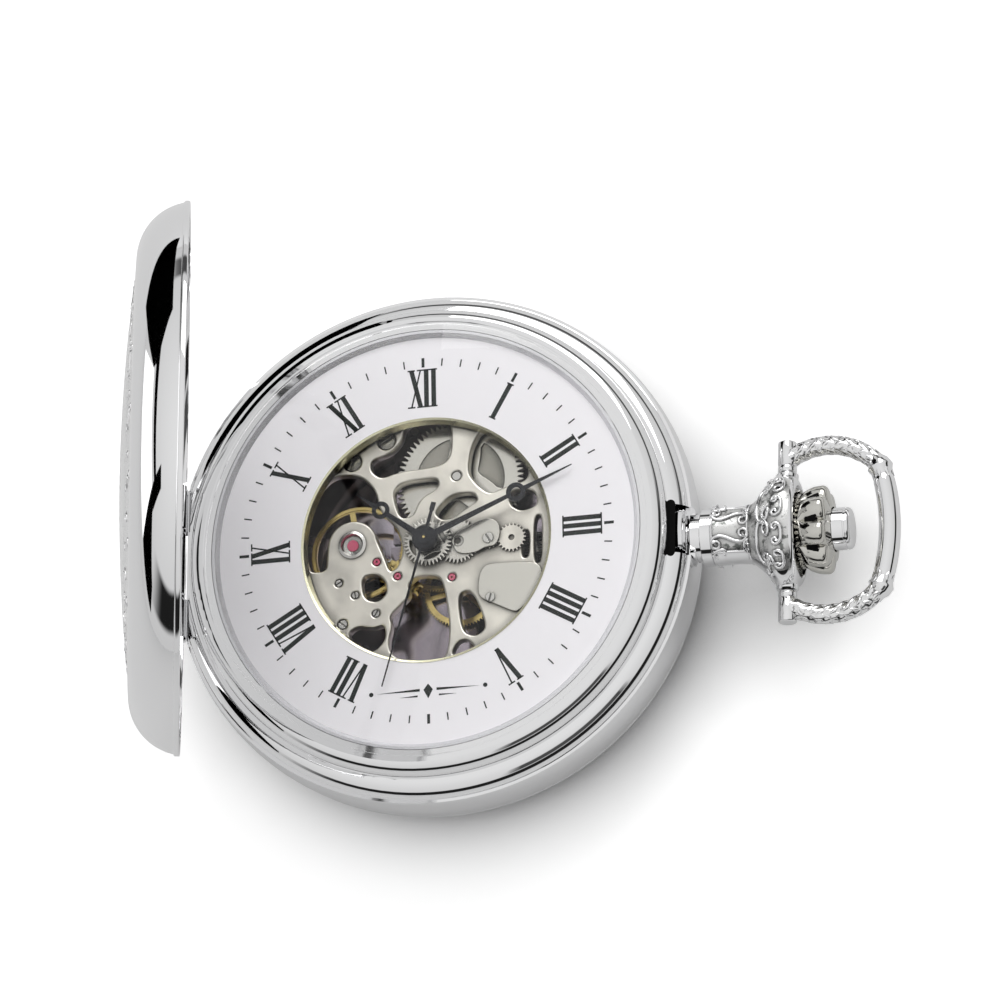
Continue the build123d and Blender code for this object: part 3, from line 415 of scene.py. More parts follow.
def softened(points, rounds=3):
    """A closed outline with its corners cut round."""
    near, far = 0.78, 0.22
    for _ in range(rounds):
        cut = []
        for (ax, ay), (bx, by) in zip(points, points[1:] + points[:1]):
            cut += [(near * ax + far * bx, near * ay + far * by), (far * ax + near * bx, far * ay + near * by)]
        points = cut
    return points


def gear(tip, root, teeth, phase=0.0, centre=(0, 0)):
    """A toothed outline with pointed-arch teeth."""
    points = []
    for k in range(teeth):
        for share, radius in ((0.0, root), (0.22, root), (0.36, (tip + root) / 2), (0.5, tip), (0.72, tip),
                              (0.86, (tip + root) / 2)):
            turn = 2 * pi * (k + share) / teeth + phase
            points.append(polar(radius, turn, centre))
    return points


def crescent(inner, outer, middle, half, centre=(0, 0)):
    """A curved slot between two radii, narrowing towards its ends."""
    points = []
    for i in range(17):
        turn = radians(middle - half + 2 * half * i / 16)
        points.append(polar(outer, turn, centre))
    for i in range(17):
        share = i / 16
        turn = radians(middle + half - 2 * half * share)
        radius = inner + (outer - inner) * 0.75 * abs(2 * share - 1) ** 2
        points.append(polar(radius, turn, centre))
    return points


def plate(name, outlines, low, high, bevel, finish, body="case", replaces=()):
    """A flat plate with openings and bevelled edges; heights count from the movement's datum."""
    data = bpy.data.curves.new(name, "CURVE")
    data.dimensions = "2D"
    data.fill_mode = "BOTH"
    data.extrude = ((high - low) / 2 - bevel) * MM
    data.bevel_depth = bevel * MM
    data.bevel_resolution = 2
    data.offset = -bevel * MM
    for outline in outlines:
        spline = data.splines.new("POLY")
        spline.points.add(len(outline) - 1)
        for point, (x, y) in zip(spline.points, outline):
            point.co = (x * MM, y * MM, 0, 1)
        spline.use_cyclic_u = True
    made = in_scene(name, data)
    made.location.z = datum + (low + high) / 2 * MM
    data.materials.append(finish)
    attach(made, body)
    if replaces:
        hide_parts(*replaces)
    return made


plate_low, plate_high = 6.2, 7.4
# The plate's openings as rough outlines in millimetres, whose corners are then cut round
openings = [
    [(-5.4, 8.1), (-5.3, 7.0), (-4.4, 6.3), (-2.9, 6.8), (1.0, 7.1), (1.9, 8.0), (1.9, 11.2), (0.2, 11.7),
     (-2.3, 11.2), (-2.6, 9.7), (-3.6, 8.6)],
    [(3.4, 6.4), (3.7, 8.8), (4.7, 10.5), (6.9, 9.3), (8.8, 6.8), (8.9, 5.3), (6.9, 4.8), (5.4, 4.2), (4.2, 5.2)],
    [(-3.3, 5.1), (-2.5, 5.9), (0.7, 6.1), (0.8, 5.1), (-0.9, 4.2), (-1.5, 2.6), (-2.6, 2.5), (-3.1, 3.8)],
    [(0.4, 2.9), (2.0, 4.5), (3.9, 4.5), (4.4, 3.7), (3.4, 3.1), (2.2, 2.2), (1.1, 2.1)],
    [(-6.1, -2.6), (-4.8, -2.4), (-3.9, -3.1), (-3.7, -4.3), (-4.6, -5.1), (-5.8, -4.7)],
    [(-7.3, -7.8), (-6.4, -7.1), (-4.9, -7.4), (-3.9, -7.1), (-3.8, -8.6), (-4.9, -9.7), (-6.3, -9.0)],
    [(-1.9, -3.5), (-0.9, -2.8), (0.9, -3.0), (1.4, -4.0), (2.0, -7.6), (1.7, -10.8), (-0.9, -11.2), (-3.2, -10.1),
     (-3.6, -8.8), (-3.2, -7.3), (-3.5, -6.4), (-2.5, -5.4), (-1.6, -4.6)],
    [(2.6, -4.9), (3.5, -4.4), (4.3, -5.3), (5.3, -8.0), (4.3, -8.8), (3.1, -8.3)],
    [(2.1, -10.3), (2.6, -9.1), (3.5, -8.9), (4.3, -9.8), (3.3, -10.7)],
    [(8.35, 0.65), (9.0, 0.65), (9.0, -1.85), (8.35, -1.85)],
    [(9.45, 2.0), (10.15, 2.0), (10.15, -2.4), (9.45, -2.4)],
    [(7.2, 4.5), (9.4, 4.4), (9.8, 2.9), (8.3, 2.4), (7.2, 3.1)],
    [(-9.25, -1.95), (-10.9, -1.95), (-11.6, 1.5), (-10.7, 4.7), (-9.0, 6.9), (-6.4, 6.8), (-4.9, 5.3), (-4.5, 3.2),
     (-2.8, 1.6), (-2.3, -0.5), (-2.8, -2.0), (-3.5, -2.4), (-3.95, -1.1), (-4.7, 0.6)]
    + [polar(2.25, radians(t), (-6.9, 0.3)) for t in range(24, 177, 19)]
    + [(-9.2, -0.8)],
]
holes = [((0, 0), 0.6), ((2.1, -3.2), 0.34), ((-2.8, -2.8), 0.34), ((-4.7, -1.37), 0.34), ((-8.1, -3.1), 0.34),
         ((-6.6, -4.3), 0.34), ((-4.7, -6.1), 0.34), ((5.65, -5.4), 0.3), ((2.4, 6.1), 0.42), ((-7.7, -6.9), 0.46),
         ((-6.9, 0.3), 1.0), ((-4.0, 9.8), 0.82), ((-7.05, 8.0), 0.82)]
plate("movement_plate", [ring_of(13.25, 160)] + [softened(points) for points in openings]
      + [ring_of(radius, 32, centre) for centre, radius in holes],
      plate_low, plate_high, 0.17, nickel, replaces=("main_plate",))

barrel_at = (2.4, 6.1)
plate("barrel_cover", [gear(5.74, 5.22, 72, centre=barrel_at), ring_of(0.45, 24, barrel_at)]
      + [crescent(1.8, 4.0, middle, 36, barrel_at) for middle in (22, 140, 262)],
      5.6, 6.0, 0.05, silver, body="barrel", replaces=("barrel",))
drum = Piece("barrel_drum", steel_dark, "nickel_plate", body="barrel", sharp=30)
drum_profile = ((0.45, 5.86), (1.3, 5.88), (1.8, 5.8), (2.4, 5.73), (3.2, 5.72), (3.9, 5.82), (4.2, 5.88),
                (4.3, 5.62), (5.05, 5.55), (5.1, 4.7), (0.45, 4.7), (0.45, 5.86))
drum.grid(turned(drum_profile, 96, barrel_at), ends=False)
drum.finish_object()

minute_at, setting_at = (2.64, 0.0), (5.44, 0.0)
plate("hour_wheel_teeth", [gear(2.19, 1.8, 36), ring_of(1.0, 32)]
      + [crescent(1.15, 1.62, middle, 30) for middle in (20, 110, 200, 290)],
      7.78, 7.98, 0.03, silver, body="hours", replaces=("hour_wheel",))
plate("minute_wheel_teeth", [gear(2.06, 1.7, 34, centre=minute_at), ring_of(0.3, 20, minute_at)],
      7.46, 7.68, 0.03, silver, body="minute_wheel", replaces=("minute_wheel",))
plate("minute_work_bridge", [softened([(2.35, 0.6), (4.6, 1.7), (5.6, 1.85), (6.4, 1.3), (6.5, 0.2), (6.1, -0.7),
                                       (5.2, -0.75), (4.4, -1.2), (3.2, -1.3), (2.5, -1.0), (2.3, -0.3)]),
                             ring_of(0.55, 28, (2.75, -0.1)), ring_of(0.4, 24, setting_at)],
      7.72, 7.86, 0.03, silver, replaces=("minute_work_cover",))
plate("lever_spring_plate", [softened([(4.75, -2.9), (5.3, -2.3), (7.6, -2.3), (10.2, -2.5), (10.25, -4.8),
                                       (8.2, -6.8), (7.6, -6.75), (5.9, -5.9), (4.6, -5.3), (4.55, -3.9)])],
      7.42, 7.65, 0.04, silver, replaces=("setting_lever_spring",))


slot_share = 0.17       # half the slot's width, as a share of the head's radius
head_depth = 0.16


def screw_heads(name, places, finish, replaces=()):
    """Slotted heads: two half discs on a lower disc. Each place is x, y, top, radius, slot angle."""
    heads = Piece(name, finish, "steel", sharp=30, replaces=replaces)
    for x, y, top, radius, slot_angle in places:
        turn = radians(slot_angle)
        gap = radius * slot_share
        first = asin(gap / radius)
        for side in (0, pi):
            outline = []
            for i in range(15):
                t = first + (pi - 2 * first) * i / 14 + side
                a, b = radius * cos(t), radius * sin(t)
                outline.append((x + a * cos(turn) - b * sin(turn), y + a * sin(turn) + b * cos(turn)))
            heads.prism(outline, top - head_depth, top, up_place)
        heads.prism(ring_of(radius * 0.97, 24, (x, y)), top - 0.26, top - 0.14, up_place)
    heads.finish_object(bevel=0.03)


screw_heads("plate_screws", ((-8.1, -3.1, 7.36, 0.3, 30), (-6.6, -4.3, 7.36, 0.3, 100), (-4.7, -6.1, 7.36, 0.3, 60),
                             (-7.7, -6.9, 7.3, 0.4, 140), (5.65, -5.4, 7.8, 0.4, 75), (5.44, 0.0, 7.98, 0.46, 120)),
            steel, replaces=("dial_side_screws",))
screw_heads("barrel_bridge_studs", ((-4.0, 9.8, 7.12, 0.74, 35), (-7.05, 8.0, 7.12, 0.74, 80)), steel_dark)

# ------------------------ dial printing

def stroke(u0, v0, u1, v1, width):
    """A bar between two points, cut square to the baseline."""
    return [(u0 - width / 2, v0), (u0 + width / 2, v0), (u1 + width / 2, v1), (u1 - width / 2, v1)]


numeral_height = 3.55
numeral_foot = 12.25
thick, thin, serif = 0.42, 0.14, 0.13
lean = 0.42             # how far a V or X leans each way
serif_half = 0.33


def glyph(letter, u):
    """The bars and serifs of one letter of a Roman numeral, centred at u."""
    top = numeral_height
    if letter == "I":
        bars = [stroke(u, 0, u, top, thick)]
        feet = ((u, 0), (u, top))
    elif letter == "V":
        bars = [stroke(u - lean, top, u, 0, thick), stroke(u + 0.45, top, u + 0.08, 0, thin)]
        feet = ((u - lean, top), (u + 0.45, top))
    else:
        bars = [stroke(u - lean, top, u + lean, 0, thick), stroke(u + lean, top, u - lean, 0, thin)]
        feet = ((u - lean, 0), (u + lean, 0), (u - lean, top), (u + lean, top))
    for foot, level in feet:
        low = level if level == 0 else level - serif
        left, right = foot - serif_half, foot + serif_half
        bars.append([(left, low), (right, low), (right, low + serif), (left, low + serif)])
    return bars


advance = {"I": 0.66, "V": 1.2, "X": 1.2}
# A plain ornament takes the place of the six
numerals = {1: "I", 2: "II", 3: "III", 4: "IIII", 5: "V", 7: "VII", 8: "VIII", 9: "IX", 10: "X", 11: "XI",
            12: "XII"}
ink_low, ink_high = 8.5, 8.515
print_piece = Piece("dial_printing", ink, "hand_dark")
dial_set = -1.6     # the printed dial sits a touch anticlockwise of the case


def dial_place(angle):
    """A placing function at a clockwise angle on the dial: u runs across, v outwards."""
    turn = radians(angle + dial_set)
    out, side = (sin(turn), cos(turn)), (cos(turn), -sin(turn))
    return lambda u, v, height: up_place(out[0] * v + side[0] * u, out[1] * v + side[1] * u, height)


def printed(outline, place):
    """One area of ink."""
    print_piece.prism(outline, ink_low, ink_high, place)


for hour, text in numerals.items():
    place = dial_place(hour * 30)
    u = -sum(advance[letter] for letter in text) / 2
    for letter in text:
        u += advance[letter] / 2
        for bar in glyph(letter, u):
            printed([(a, b + numeral_foot) for a, b in bar], place)
        u += advance[letter] / 2
for minute in range(60):
    place = dial_place(minute * 6)
    half, inner, outer = (0.13, 15.98, 16.85) if minute % 5 == 0 else (0.06, 16.05, 16.75)
    printed([(-half, inner), (half, inner), (half, outer), (-half, outer)], place)
# A small plain flourish at the foot of the dial
place = dial_place(180)
for side in (-1, 1):
    printed([(side * 0.75, 13.62), (side * 4.6, 13.78), (side * 0.75, 13.86)], place)
    printed([(side * 0.95, 14.2), (side * 2.6, 14.3), (side * 0.95, 14.36)], place)
    printed([polar(0.2, t * pi / 6, (side * 5.1, 13.78)) for t in range(12)], place)
printed([(-0.42, 13.74), (0, 13.2), (0.42, 13.74), (0, 14.55)], place)
print_piece.finish_object()

# ------------------------ crystal, a thin domed glass

lens = Piece("crystal_dome", glass, "crystal", replaces=("crystal",), sharp=60)
lens_radius, lens_inner = 19.85, 19.8
outer_apex, inner_apex = 10.48, 10.2
lens_profile = [(lens_radius, 9.12)] + dome(outer_apex, lens_radius, 9.12, 24)[:-1]
lens_profile += [(0.02, outer_apex), (0.02, inner_apex)] + dome(inner_apex, lens_inner, 8.98, 24)[:-1][::-1]
lens_profile += [(lens_inner, 8.97), (lens_radius, 9.0)]
lens.grid(turned(lens_profile + lens_profile[:1], 180), ends=False)
lens_object = lens.finish_object()
# The dial is lit through the glass, which would otherwise throw a full shadow on it
lens_object.visible_shadow = False

# ------------------------ pendant

neck_radius = 2.58
flat_share = 0.5        # the bell is this much shallower than it is wide, beyond the neck's radius


def pendant_at(x, radius, angle, lift=0.0):
    """A point on the pendant, which is round at the neck and oval at the bell."""
    deep = neck_radius + (radius - neck_radius) * flat_share if radius > neck_radius else radius
    return (x, (radius + lift) * cos(angle), stem_mm + (deep + lift) * sin(angle))


# Profiles of (x, radius): the collar, the neck and the bell, and the cup that the crown turns in
neck_start, neck_end = (25.0, neck_radius), (28.2, neck_radius)
collar_line = [(21.4, 1.1), (21.4, 1.6), (22.9, 1.6), (22.9, 2.0), (23.0, 2.12), (23.85, 2.12), (23.9, 2.45),
               (23.98, 2.56), (24.85, 2.56), (24.9, 2.5), (24.98, 2.5)]
neck_line = [neck_start] + arc(neck_start, (26.6, 2.5), neck_end, 12)
bell_line = (arc(neck_end, (29.3, 3.55), (30.25, 4.75), 14) + arc((30.25, 4.75), (31.1, 5.28), (31.95, 5.0), 12)
             + arc((31.95, 5.0), (32.3, 4.7), (32.46, 4.25), 6))
cup_line = [(32.42, 4.1), (32.2, 4.0), (31.7, 3.92), (31.4, 3.7), (31.0, 2.2), (30.4, 1.1), (21.4, 1.1)]
pendant_line = collar_line + neck_line + bell_line + cup_line
pendant = Piece("pendant_body", polished, "polished_case", replaces=("pendant",))
pendant.grid([[pendant_at(x, radius, 2 * pi * i / 128) for i in range(128)] for x, radius in pendant_line],
             ends=False)
# Short bosses at the sides of the bell, for the bow's posts
boss_profile = ((4.5, 0.9), (5.1, 1.0), (5.24, 0.98), (5.34, 0.88), (5.34, 0.42))
for side in (-1, 1):
    pendant.grid(turned_post(boss_profile, 40, side))


def engraved_face(at):
    """True on the front and back of the pendant, between the plain sides."""
    turn = abs(abs(atan2(at.z - stem_mm, at.y)) - pi / 2)
    half = radians(50 if at.x < neck_end[0] else 62)
    outside_bore = hypot(at.z - stem_mm, at.y) > 2.4
    return 25.1 < at.x < 32.05 and turn < half and outside_bore


pendant.finish_object(second=chased, where=engraved_face)


def on_profile(profile, travel):
    """The (x, radius) at a length along a profile."""
    left = travel
    for (x0, r0), (x1, r1) in zip(profile, profile[1:]):
        length = hypot(x1 - x0, r1 - r0)
        if left <= length or (x1, r1) == profile[-1]:
            share = min(1.0, left / length)
            return x0 + (x1 - x0) * share, r0 + (r1 - r0) * share
        left -= length
    return profile[-1]


def laid_scroll(profile, travel, angle, length, curl, kind, lie, mirror):
    """Lays a flat scroll on the pendant, its middle at a length along a profile and an angle round it."""
    line = []
    for a, b, weight in scroll(length, curl, kind):
        along = a * cos(lie) - b * sin(lie)
        across = mirror * (a * sin(lie) + b * cos(lie))
        x, radius = on_profile(profile, max(0.02, travel + along))
        line.append((pendant_at(x, radius, angle + across / radius, scroll_lift), weight))
    return line


# Profile, length along it, angle from the face's middle, length, curl, kind, lie in degrees, mirrored
pendant_scrolls = (
    (neck_line, 1.6, 23, 8.0, 3.9, "S", -25, -1),
    (neck_line, 0.5, 46, 2.2, 6.0, "C", 200, -1),
    (neck_line, 2.9, 40, 2.6, 7.0, "C", -90, 1),
    (bell_line, 1.0, 27, 12.0, 2.75, "C", -90, 1),
    (bell_line, 4.2, 14, 5.0, 5.6, "C", 90, 1),
    (bell_line, 2.6, 54, 6.0, 4.4, "S", 70, 1),
    (bell_line, 4.3, 40, 4.4, 5.6, "C", 90, 1),
)
scroll_lift = 0.07
lines = []
for face in (90, 270):
    for side in (-1, 1):
        for profile, travel, angle, length, curl, kind, lie, mirror in pendant_scrolls:
            lines.append(laid_scroll(profile, travel, radians(face + side * angle), length, curl, kind,
                                     radians(lie), mirror * side))
        # Plain wire along the edge of the engraved field
        lines.append([(pendant_at(x, radius, radians(face + side * 51), 0.02), 0.8) for x, radius in neck_line])
curves("pendant_scrolls", lines, 0.17, polished, "case")
rims = []
for travel in (0.03, 3.2):
    x, radius = on_profile(neck_line, travel)
    rims.append([(pendant_at(x, radius, 2 * pi * i / 72, 0.01), 1.0) for i in range(73)])
curves("pendant_rims", rims, 0.09, polished, "case")

# ------------------------ crown and button

crown = Piece("crown_onion", worn_grey, "polished_case", body="crown", replaces=("crown",), sharp=26)
crown_profile = ([(31.9, 0.6), (31.9, 2.9), (31.95, 3.1), (32.55, 3.3), (32.62, 3.05)]
                 + arc((32.62, 3.05), (33.5, 3.66), (34.55, 3.87), 16)
                 + arc((34.55, 3.87), (34.95, 3.82), (35.2, 3.5), 6)
                 + [(35.35, 2.9), (35.46, 2.3), (35.48, 1.98), (33.3, 1.96), (33.3, 0.6)])
crown_lobes = 8


def lobes(x, radius, angle):
    """Fine teeth at the crown's base, and deep valleys between its lobes."""
    if x < 32.6:
        return radius - 0.3 * (cos(36 * angle) < 0) if radius > 2.8 else radius
    if radius < 2.2:
        return radius
    share = min(1.0, (x - 32.5) / 0.9)
    return radius * (1 - 0.2 * share * (1 - abs(sin(crown_lobes / 2 * angle)) ** 0.8))


lathe_stem(crown, crown_profile, steps=432, shape=lobes)
crown.finish_object()
# Black strips painted on as the shade in the crown's notches, between its lobes
notches = Piece("crown_notch_shade", shadow_black, "polished_case", body="crown", sharp=30)
for k in range(crown_lobes):
    turn = 2 * pi * k / crown_lobes
    rows = []
    for x, edge in ((33.4, 0.08), (33.46, 0.0), (34.44, 0.0), (34.5, 0.08)):
        out = 0.8 * (3.05 + (x - 32.62) / 1.93 * 0.82) + 0.45 - edge
        rows.append([(x, out * cos(turn) - w * sin(turn), stem_mm + out * sin(turn) + w * cos(turn))
                     for w in (-0.3, -0.15, 0.15, 0.3)])
    notches.grid(rows, wrap=False, ends=False)
notches.finish_object()

button = Piece("button_cap", polished, "polished_case", body="button", replaces=("release_button",), sharp=30)
lathe_stem(button, [(34.0, 0.0), (34.0, 1.86), (36.45, 1.86), (36.52, 1.78), (36.6, 1.78), (36.68, 1.86)]
           + arc((36.68, 1.86), (36.98, 1.74), (37.1, 1.4), 8) + [(37.13, 0.8), (37.14, 0.0)], steps=96)
button.finish_object()

# ------------------------ catch in its slot

# A thin black sheet painted in as the shade down in the catch's slot
slot_piece = Piece("catch_slot_shade", shadow_black, "steel")
slot_x, slot_end, slot_radius = 21.62, 2.15, 0.42
slot_outline = [polar(slot_radius, radians(t), (slot_x, end)) for end, turns in
                ((slot_end, range(0, 181, 20)), (-slot_end, range(180, 361, 20))) for t in turns]
slot_piece.prism(slot_outline, 7.28, 7.33, up_place)
slot_piece.finish_object()
catch = Piece("catch_hook", polished, "steel", body="catch", replaces=("lid_catch",), sharp=40)
# The hook's section as x, height, and how far the height swells at the middle of its width
hook_section = ((22.72, 5.62, 0), (22.72, 5.9, 0.7), (22.55, 6.25, 0.85), (22.25, 6.37, 0.87), (21.95, 6.3, 0.8),
                (21.9, 6.0, 0), (21.15, 5.9, 0), (21.15, 5.62, 0))
rows = []
for k in range(21):
    y = -1.85 + 3.7 * k / 20
    swell = sqrt(max(0.0, 1 - (y / 1.86) ** 2)) ** 0.5
    rows.append([up_place(x, y, height + rise * swell) for x, height, rise in hook_section])
catch.grid(rows)
catch.finish_object()

# ------------------------ bow

side_arc = ((31.6, 6.75), (35.9, 7.65), (39.5, 5.55))
end_arc = ((39.5, 5.55), (40.36, 0.0), (39.5, -5.55))
side_points, end_points = 60, 80
half_path = [side_arc[0]] + arc(*side_arc, side_points)
full_path = half_path + arc(*end_arc, end_points) + [(x, -y) for x, y in half_path[::-1]][1:]
knot_places = (side_points, side_points + end_points)
bow = Piece("bow_loop", polished, "polished_case", body="bow", replaces=("bow",), sharp=50)
rows, lengths = [], [0.0]
for (x0, y0), (x1, y1) in zip(full_path, full_path[1:]):
    lengths.append(lengths[-1] + hypot(x1 - x0, y1 - y0))
total = lengths[-1]
knots = tuple(lengths[place] for place in knot_places)


def hump(away, width):
    """A smooth rise of 1 that fades with the distance from its middle."""
    return 2.718 ** (-((away / width) ** 2))


def bow_radius(s, angle):
    """Rod radius: fuller shoulders at the knots, and a plain stretch between them."""
    radius = 0.84 + 0.12 * (knots[0] < s < knots[1])
    for knot in knots:
        gap = abs(s - knot)
        radius += 0.22 * hump(gap, 0.42) - 0.10 * hump(gap - 1.0, 0.3)
    if s < knots[0] - 0.8 or s > knots[1] + 0.8:
        from_end = min(s, total - s)
        radius -= 0.045 * (0.5 + 0.5 * sin(3 * (angle + 1.7 * from_end))) + 0.03 * sin(7 * angle - 5 * from_end)
    return radius


def frame_at(index):
    """Centre, forward and outward directions of the bow's line at a path point."""
    x, y = full_path[index]
    before, after = full_path[max(0, index - 1)], full_path[min(len(full_path) - 1, index + 1)]
    length = hypot(after[0] - before[0], after[1] - before[1])
    forward = Vector(((after[0] - before[0]) / length, (after[1] - before[1]) / length, 0))
    return Vector((x, y, stem_mm)), forward, Vector((forward.y, -forward.x, 0)) * -1


for index, s in enumerate(lengths):
    centre, forward, outward = frame_at(index)
    ring = []
    for step in range(40):
        angle = 2 * pi * step / 40
        radius = bow_radius(s, angle)
        ring.append(tuple(centre + outward * (radius * cos(angle)) + Vector((0, 0, radius * sin(angle)))))
    rows.append(ring)
bow.grid(rows)
post_profile = ((5.42, 0.45), (5.42, 0.74), (5.5, 0.82), (5.95, 0.82), (6.02, 0.76), (6.1, 0.82), (8.12, 0.82),
                (8.22, 0.78), (8.28, 0.66), (8.28, 0.45))
for side in (-1, 1):
    bow.grid(turned_post(post_profile, 48, side))


# Leaves stop just inside the bow's own end
bow_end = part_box("bow")[1][0] / MM - 0.005


def leaf(piece, index, angle, length, width, lean):
    """A small raised leaf with a midrib, laid on the bow's rod."""
    centre, forward, outward = frame_at(index)
    normal = outward * cos(angle) + Vector((0, 0, sin(angle)))
    side = forward.cross(normal)
    ahead = forward * cos(lean) + side * sin(lean)
    across = side * cos(lean) - forward * sin(lean)
    radius = bow_radius(lengths[index], angle)
    rows = []
    for step in range(7):
        share = step / 6
        half = width * sin(pi * share) ** 0.75 * (1.15 - 0.5 * share)
        row = []
        for across_share in (-1, -0.5, 0, 0.5, 1):
            off_rib = abs(across_share)
            rise = 0.07 * (1 - off_rib) ** 0.7 + 0.05 * sin(pi * share) * (0.4 + off_rib * 0.6)
            flat = ahead * (length * (share - 0.5)) + across * (half * across_share)
            drop = radius - sqrt(max(0.0, radius**2 - flat.dot(side) ** 2))
            lift = radius - 0.03 - drop + rise * (1 - 0.9 * (off_rib == 1))
            point = centre + normal * lift + flat
            point.x = min(point.x, bow_end)
            row.append(tuple(point))
        rows.append(row)
    piece.grid(rows, wrap=False, ends=False)


leaves = Piece("bow_leaves", polished, "polished_case", body="bow", sharp=60)
for first, last in ((4, 56), (144, 196)):
    for count, index in enumerate(range(first, last, 4)):
        for k in range(6):
            angle = 2 * pi * (k + 0.5 * (count % 2)) / 6
            leaf(leaves, index, angle, 0.95, 0.2, 0.55 if (k + count) % 2 else -0.55)
for knot in knot_places:
    for k in range(7):
        for offset in (-5, 5):
            leaf(leaves, knot + offset, 2 * pi * k / 7, 1.3, 0.26, 0.0)
leaves.finish_object()
bow.finish_object(second=chased_fine, where=lambda at: 31.9 < at.x < 39.6 and abs(at.y) > 5.5)

# ------------------------ front cover, built closed and then opened

rim = 6.15
cover_apex, cover_edge = rim + 5.6, rim + 4.5
relief = 0.09
shell_profile = ([(23.2, rim + 0.4), (23.2, rim + 0.06), (23.26, rim), (23.71, rim), (23.79, rim + 0.08),
                  (23.79, rim + 0.42), (23.74, rim + 0.5), (23.62, rim + 0.55), (23.58, rim + 0.7)]
                 + arc((23.58, rim + 0.7), (21.9, rim + 3.38), (18.4, rim + 4.5), 26) + [(18.3, rim + 4.46)]
                 + dome(cover_apex - 2 * relief, 18.2, cover_edge - 2 * relief)
                 + [(0.0, rim + 5.12)] + dome(rim + 5.12, 18.1, rim + 4.02)[::-1][1:] + [(18.1, rim + 4.02)]
                 + arc((18.1, rim + 4.02), (21.4, rim + 3.02), (23.05, rim + 0.7), 18))
cover = Piece("cover_shell", polished, "polished_case", body="lid", replaces=("front_cover",), sharp=38)
steps = 300
notch = asin(7.15 / 23.79)      # half the gap in the rim that clears the hinge
rows = []
for radius, height in shell_profile + shell_profile[:1]:
    ring = []
    for step in range(steps):
        angle = 2 * pi * step / steps
        near_hinge = abs(angle - pi) < notch and radius > 22.3
        level = max(height, 8.0) if near_hinge else height
        ring.append(up_place(*polar(radius, angle), level))
    rows.append(ring)
cover.grid(rows, ends=False)
hinge_x, hinge_z = hinge.x / MM, hinge.z / MM - datum_mm
tab = [polar(0.75, radians(70 + 20 * k), (hinge_x, hinge_z)) for k in range(15)]
tab += [(hinge_x + 0.75, hinge_z + 0.1), (hinge_x + 0.72, hinge_z + 0.9), (hinge_x + 0.55, hinge_z + 1.7),
        (hinge_x - 0.05, hinge_z + 1.5)]
cover.prism(tab, -2.98, 2.98, lambda a, b, along: up_place(a, along, b))
cover_shell = cover.finish_object(moved=opened)


cover_ball = (18.3**2 + (cover_apex - cover_edge) ** 2) / (2 * (cover_apex - cover_edge))


def smooth_cover(radius):
    """Height of the cover's dome before it is engraved."""
    return cover_apex - cover_ball + sqrt(cover_ball**2 - radius**2)


def cover_height(radius, angle):
    """The engraved outside: cartouche, engine turning, and a scrolled border between beads."""
    if radius < 4.3:
        depth = 0.0
    elif radius < 5.0:
        depth = relief * (1 - abs(sin(18 * angle)) * sqrt(max(0.0, 1 - ((radius - 4.65) / 0.35) ** 2)))
    elif radius < 13.0:
        wave = 0.42 * sin(2 * pi * (radius - 5) / 1.6)
        depth = relief * 0.8 * (0.5 + 0.5 * sin(36 * (angle + wave / 9)))
        depth += 0.02 * (0.5 + 0.5 * sin(2 * pi * radius / 0.8))
    elif radius < 13.7:
        depth = relief * abs(cos(pi * (radius - 13.0) / 0.7))
    elif radius < 17.5:
        depth = relief * (0.82 + 0.18 * sin(90 * angle) * sin(2 * pi * radius / 0.5))
    else:
        depth = relief * (1 - abs(sin(36 * angle)) * sqrt(max(0.0, 1 - ((radius - 17.9) / 0.4) ** 2)))
    return smooth_cover(radius) - depth


engraved = Piece("cover_engraving", chased_cover, "polished_case", body="lid", sharp=60)
radii = [0.01] + [4.2 * k / 6 for k in range(1, 7)] + [4.3 + (18.3 - 4.3) * k / 112 for k in range(113)]
steps = 648
turns = [2 * pi * i / steps for i in range(steps)]
rows = [[up_place(*polar(radius, turn), cover_height(radius, turn)) for turn in turns] for radius in radii]
engraved.grid(rows, ends=False)
cover_face = engraved.finish_object(moved=opened)

# Kind, radius of the middle, length, curl, lie in radians, and shift round the border in repeats
border_scrolls = (("S", 15.6, 6.4, 3.6, 0.35, 0.0), ("C", 15.2, 3.2, 6.5, 1.9, 0.5))
border = []
for k in range(18):
    for kind, middle, length, curl, lie, offset in border_scrolls:
        base = 2 * pi * (k + offset) / 18
        line = []
        for a, b, weight in scroll(length, curl, kind):
            round_way, outward = a * cos(lie) - b * sin(lie), a * sin(lie) + b * cos(lie)
            radius = min(17.35, max(13.85, middle + outward))
            angle = base + round_way / radius
            height = smooth_cover(radius) - 0.085
            place = Vector(up_place(*polar(radius, angle), height))
            line.append((opened @ (place * MM) / MM, weight))
        border.append(line)
curves("cover_scrolls", border, 0.1, polished, "lid", resolution=2)
# The open cover is left out of diffuse light, so that it doesn't dim the dial
cover_shell.visible_diffuse = cover_face.visible_diffuse = False


# ------------------------ camera, light and floor

azimuth, elevation, roll = radians(35.2), radians(67.0), radians(-36.9)
back = Vector((sin(azimuth) * cos(elevation), -cos(azimuth) * cos(elevation), sin(elevation)))
level_right = Vector((cos(azimuth), sin(azimuth), 0))
level_up = back.cross(level_right)
right = cos(roll) * level_right + sin(roll) * level_up
up = cos(roll) * level_up - sin(roll) * level_right
distance = 0.75
sensor = 36
frames_per_metre = 11.45        # how much of the picture's width a metre takes up at the dial
shift_right, shift_up = 6.48, 3.46
camera_data = bpy.data.cameras.new("camera")
camera_data.lens = frames_per_metre * distance * sensor
camera_data.clip_end = 20
camera = in_scene("camera", camera_data)
spot = Vector((0, 0, dial_top)) + back * distance + right * shift_right * MM + up * shift_up * MM
camera.matrix_world = Matrix.Translation(spot) @ Matrix((right, up, back)).transposed().to_4x4()
bpy.context.scene.camera = camera
bpy.context.scene.view_settings.view_transform = "Standard"


